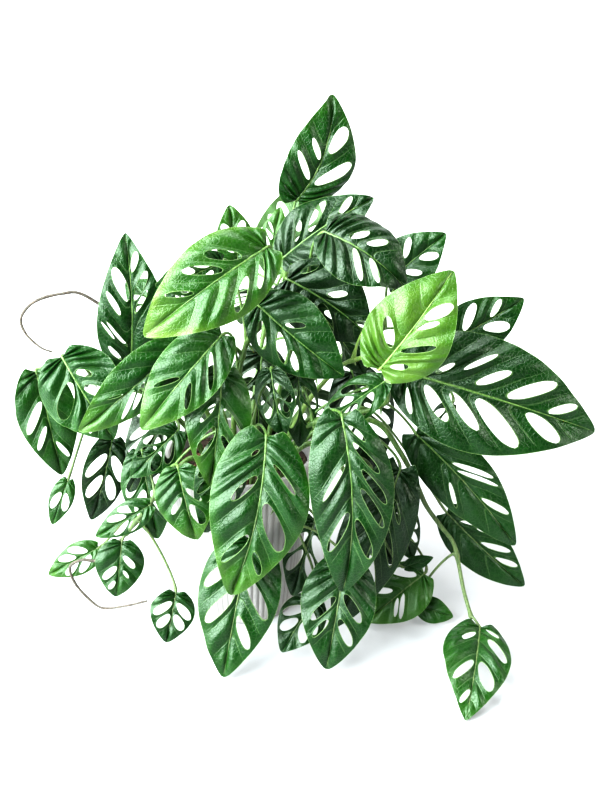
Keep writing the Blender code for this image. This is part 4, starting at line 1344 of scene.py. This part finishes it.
@dataclass(frozen=True)
class Finish:
    """A finish: it makes one material from a Principled shader and the nodes of its kind."""

    name: str
    roughness: float

    def material(self) -> Material:
        """The finish as a new material."""
        made = bpy.data.materials.new(self.name)
        made.use_nodes = True
        graph = Graph(made.node_tree)
        shader = made.node_tree.nodes["Principled BSDF"]
        place = graph.add("ShaderNodeTexCoord").outputs["Object"]
        self.paint(graph, shader, place)
        return made

    def paint(self, graph: Graph, shader: Node, place: NodeSocket) -> None:
        """Feeds the shader's colour, roughness and normal."""
        raise NotImplementedError

    def bump(self, graph: Graph, shader: Node, height, strength: float, distance: float) -> None:
        """Turns a height into the shader's normal."""
        node = graph.add("ShaderNodeBump", Height=height, Strength=strength, Distance=distance)
        graph.feed(shader.inputs["Normal"], node.outputs["Normal"])


@dataclass(frozen=True)
class LeafFinish(Finish):
    """A waxy blade: green by its tone, with paler veins, a fine net and a duller underside."""

    pattern: NodeTree
    ramp: tuple

    def paint(self, graph, shader, place):
        veins = graph.add("ShaderNodeUVMap", {"uv_map": "veins"}).outputs["UV"]
        marks = graph.group(self.pattern, Veins=veins, Place=place)
        tone = graph.named("tone")
        under = graph.named("under")
        shifted = graph.times(graph.math("SUBTRACT", marks["Blotch"], 0.5), 0.38, tone)
        base = graph.ramp(shifted, *self.ramp)
        pale = graph.mix(0.6, base, (0.20, 0.32, 0.13))
        drawn = graph.times(marks["Midrib"], 0.60, graph.times(marks["Vein"], 0.20))
        drawn = graph.times(marks["Net"], 0.07, drawn)
        colour = graph.mix(graph.math("MINIMUM", drawn, 0.85), base, pale)
        edge = graph.times(graph.fade(graph.named("rim"), 0.78, 1.0), 0.60)
        colour = graph.mix(edge, colour, graph.mix(0.6, colour, (0.26, 0.38, 0.15)))
        below = graph.mix(0.40, colour, (0.14, 0.22, 0.10))
        colour = graph.mix(graph.times(under, 0.75), colour, below)
        graph.feed(shader.inputs["Base Color"], colour)
        rough = graph.times(marks["Blotch"], 0.16, self.roughness - 0.08)
        rough = graph.times(under, 0.16, rough)
        graph.feed(shader.inputs["Roughness"], rough)
        shader.inputs["Specular IOR Level"].default_value = 0.42
        shader.inputs["Specular Tint"].default_value = (0.85, 1.0, 0.84, 1)
        shader.inputs["Subsurface Weight"].default_value = 0.12
        shader.inputs["Subsurface Radius"].default_value = (0.5, 1.0, 0.25)
        shader.inputs["Subsurface Scale"].default_value = 0.0012
        self.bump(graph, shader, marks["Height"], 0.42, 0.0007)


@dataclass(frozen=True)
class StemFinish(Finish):
    """Stems, petioles and midribs: pale green with fine streaks, brown and rough on roots."""

    pattern: NodeTree
    green: tuple
    light: tuple

    def paint(self, graph, shader, place):
        marks = graph.group(self.pattern, Place=place, Grain=520.0)
        stretched = graph.add("ShaderNodeMapping", Vector=place, Scale=(1.0, 1.0, 0.12))
        streaks = graph.noise(stretched.outputs["Vector"], 700, 3)
        green = graph.mix(graph.fade(streaks, 0.35, 0.65), self.green, self.light)
        green = graph.mix(graph.times(marks["Specks"], 0.35), green, (0.10, 0.075, 0.035))
        browns = ((0.3, (0.038, 0.030, 0.022)), (0.7, (0.120, 0.105, 0.080)))
        bark = graph.ramp(marks["Grain"], *browns)
        brown = graph.named("brown")
        graph.feed(shader.inputs["Base Color"], graph.mix(brown, green, bark))
        graph.feed(shader.inputs["Roughness"], graph.times(brown, 0.35, self.roughness))
        coarse = graph.times(brown, 1.5, 0.3)
        height = graph.times(marks["Grain"], coarse, streaks)
        shader.inputs["Subsurface Weight"].default_value = 0.08
        shader.inputs["Subsurface Scale"].default_value = 0.001
        self.bump(graph, shader, height, 0.35, 0.0004)


@dataclass(frozen=True)
class PotFinish(Finish):
    """Matte off-white ware: a faint warm grain, painted shade in the flutes' grooves, a few specks,
    and soft grey marks low down.
    """

    pattern: NodeTree

    def paint(self, graph, shader, place):
        marks = graph.group(self.pattern, Place=place, Grain=900.0)
        creams = ((0.25, (0.33, 0.318, 0.305)), (0.75, (0.39, 0.380, 0.368)))
        base = graph.ramp(marks["Stain"], *creams)
        # Painted shade: darker in the flutes' grooves, the more so the deeper they are
        base = graph.mix(graph.times(graph.named("groove"), 0.62), base, (0.20, 0.185, 0.17))
        base = graph.mix(graph.times(marks["Specks"], 0.16), base, (0.33, 0.29, 0.24))
        height = graph.add("ShaderNodeSeparateXYZ", Vector=place).outputs["Z"]
        foot = graph.fade(height, 0.0, 0.014, 1.0, 0.0)
        low = graph.times(foot, graph.fade(marks["Stain"], 0.35, 0.7))
        base = graph.mix(graph.times(low, 0.45), base, (0.33, 0.29, 0.25))
        graph.feed(shader.inputs["Base Color"], base)
        rough = graph.times(marks["Grain"], 0.16, self.roughness - 0.08)
        graph.feed(shader.inputs["Roughness"], rough)
        self.bump(graph, shader, marks["Grain"], 0.22, 0.0002)


@dataclass(frozen=True)
class EarthFinish(Finish):
    """Potting mix or bark: two browns by its grain, with pale or dark specks."""

    pattern: NodeTree
    dark: tuple
    light: tuple
    speck: tuple
    grain: float

    def paint(self, graph, shader, place):
        marks = graph.group(self.pattern, Place=place, Grain=self.grain)
        base = graph.ramp(marks["Grain"], (0.32, self.dark), (0.68, self.light))
        base = graph.mix(graph.times(marks["Specks"], 0.5), base, self.speck)
        graph.feed(shader.inputs["Base Color"], base)
        rough = graph.times(marks["Stain"], 0.2, self.roughness - 0.1)
        graph.feed(shader.inputs["Roughness"], rough)
        self.bump(graph, shader, marks["Grain"], 0.8, 0.0012)


@dataclass(frozen=True)
class FloorFinish(Finish):
    """A plain floor: painted shade in front of the plant, pale under it, painted white glow behind.
    """

    def paint(self, graph, shader, place):
        tint = graph.noise(place, 3, 2)
        depth = graph.add("ShaderNodeSeparateXYZ", Vector=place).outputs["Y"]
        behind = graph.fade(depth, -1.00, -0.20)
        # Painted light: a glow that grows towards the back, white behind the plant, though the
        # floor is no lamp
        painted_glow = graph.fade(depth, -0.05, 0.90, 0.06, 0.80)
        pale = graph.ramp(tint, (0.3, (0.39, 0.395, 0.40)), (0.7, (0.41, 0.415, 0.42)))
        # Painted shade: a darker colour in front of the plant
        graph.feed(shader.inputs["Base Color"], graph.mix(behind, (0.20, 0.20, 0.20), pale))
        shader.inputs["Emission Color"].default_value = (1, 1, 1, 1)
        graph.feed(shader.inputs["Emission Strength"], graph.times(behind, painted_glow))
        shader.inputs["Roughness"].default_value = self.roughness


class Finishes:
    """All the materials, made once."""

    def __init__(self):
        leaf, speckle = leaf_pattern(), speckle_pattern()
        greens = (
            (0.00, (0.001, 0.008, 0.001)), (0.14, (0.001, 0.017, 0.001)),
            (0.30, (0.003, 0.032, 0.002)), (0.46, (0.011, 0.055, 0.003)),
            (0.66, (0.034, 0.090, 0.008)), (0.84, (0.070, 0.130, 0.016)),
            (1.00, (0.115, 0.175, 0.028)),
        )
        self.leaf = LeafFinish("waxy_leaf", 0.32, leaf, greens).material()
        self.young_leaf = LeafFinish("young_leaf", 0.33, leaf, greens).material()
        self.stem = StemFinish(
            "stem", 0.42, speckle, (0.055, 0.120, 0.024), (0.130, 0.220, 0.060)
        ).material()
        self.young_stem = StemFinish(
            "young_stem", 0.40, speckle, (0.11, 0.20, 0.04), (0.19, 0.28, 0.07)
        ).material()
        self.pot = PotFinish("matte_ware", 0.58, speckle).material()
        self.soil = EarthFinish(
            "potting_mix", 0.92, speckle,
            dark=(0.012, 0.008, 0.005), light=(0.075, 0.048, 0.030), speck=(0.22, 0.18, 0.13),
            grain=420.0,
        ).material()
        self.bark = EarthFinish(
            "bark", 0.85, speckle,
            dark=(0.050, 0.022, 0.010), light=(0.200, 0.105, 0.050), speck=(0.03, 0.02, 0.012),
            grain=260.0,
        ).material()
        self.floor = FloorFinish("floor", 0.8).material()


@dataclass(frozen=True)
class Softbox:
    """A large square light that faces a point of the plant."""

    name: str
    place: tuple
    size: float
    energy: float
    colour: tuple = (1, 1, 1)
    target: tuple = (0.05, 0.0, 0.2)

    def build(self) -> None:
        """Adds the light."""
        clear_selection()
        facing = Vector(self.target) - Vector(self.place)
        turn = facing.to_track_quat("-Z", "Y").to_euler()
        bpy.ops.object.light_add(type="AREA", location=self.place, rotation=turn)
        lamp = bpy.context.object
        lamp.name = self.name
        lamp.data.size = self.size
        lamp.data.energy = self.energy
        lamp.data.color = self.colour


@dataclass
class Studio:
    """The floor, the lights and the camera."""

    floor: Material
    sky_colour: tuple = (0.93, 0.96, 1.0, 1)
    sky_strength: float = 0.10
    softboxes: tuple = (
        Softbox("window_left", (-1.05, -0.70, 0.95), 1.6, 148, (0.92, 0.98, 1.0)),
        Softbox("sky", (0.1, 0.25, 1.5), 0.8, 18, (0.95, 0.98, 1.0)),
        Softbox("fill_right", (1.2, -0.5, 0.7), 0.6, 10, (1.0, 0.98, 0.95)),
    )

    def sweep(self, points: np.ndarray) -> np.ndarray:
        """Lays a grid as a floor that curves up into a backdrop behind the plant."""
        rows = [(-SWEEP_FRONT, FLOOR_LEVEL)]
        for i in range(SWEEP_STEPS + 1):
            turn = math.pi / 2 * i / SWEEP_STEPS
            rows.append((SWEEP_BACK + SWEEP_RADIUS * math.sin(turn),
                         FLOOR_LEVEL + SWEEP_RADIUS * (1 - math.cos(turn))))
        rows.append((SWEEP_BACK + SWEEP_RADIUS, SWEEP_TOP))
        step = np.round((points[:, 1] + 0.5) * (SWEEP_STEPS + 2)).astype(int)
        y, z = np.array(rows)[step].T
        return np.column_stack([points[:, 0] * SWEEP_WIDTH, y, z])

    def build(self) -> None:
        """Makes them all, at the photograph's viewing angle."""
        clear_selection()
        bpy.ops.mesh.primitive_grid_add(x_subdivisions=1, y_subdivisions=SWEEP_STEPS + 2, size=1)
        floor = bpy.context.object
        floor.name = "studio_floor"
        set_coordinates(floor.data, self.sweep(coordinates(floor.data)))
        bpy.ops.object.shade_smooth()
        floor.data.materials.append(self.floor)
        for softbox in self.softboxes:
            softbox.build()
        world = bpy.context.scene.world or bpy.data.worlds.new("studio")
        bpy.context.scene.world = world
        world.use_nodes = True
        sky = world.node_tree.nodes["Background"]
        sky.inputs["Color"].default_value = self.sky_colour
        sky.inputs["Strength"].default_value = self.sky_strength
        bpy.context.scene.view_settings.view_transform = "Standard"
        bpy.context.scene.view_settings.look = "High Contrast"
        bpy.ops.object.camera_add(location=VIEW_FROM, rotation=(math.pi / 2 - VIEW_PITCH, 0, 0))
        camera = bpy.context.object
        camera.name = "photo_view"
        camera.data.sensor_fit = "VERTICAL"
        camera.data.sensor_height = SENSOR
        camera.data.lens = VIEW_FOCAL * SENSOR / VIEW_HEIGHT
        camera.data.clip_start = 0.01
        bpy.context.scene.camera = camera


def main() -> None:
    """Builds the pot, the soil, every leafy stem and the studio."""
    finishes = Finishes()
    Pot(finishes.pot).build()
    Soil(finishes.soil, finishes.bark).build()
    for vine in VINES:
        leaf = finishes.young_leaf if vine.young else finishes.leaf
        stem = finishes.young_stem if vine.young else finishes.stem
        LeafyStem(vine, leaf, stem).build()
    Studio(finishes.floor).build()
    clear_selection()


if __name__ == "__main__":
    main()
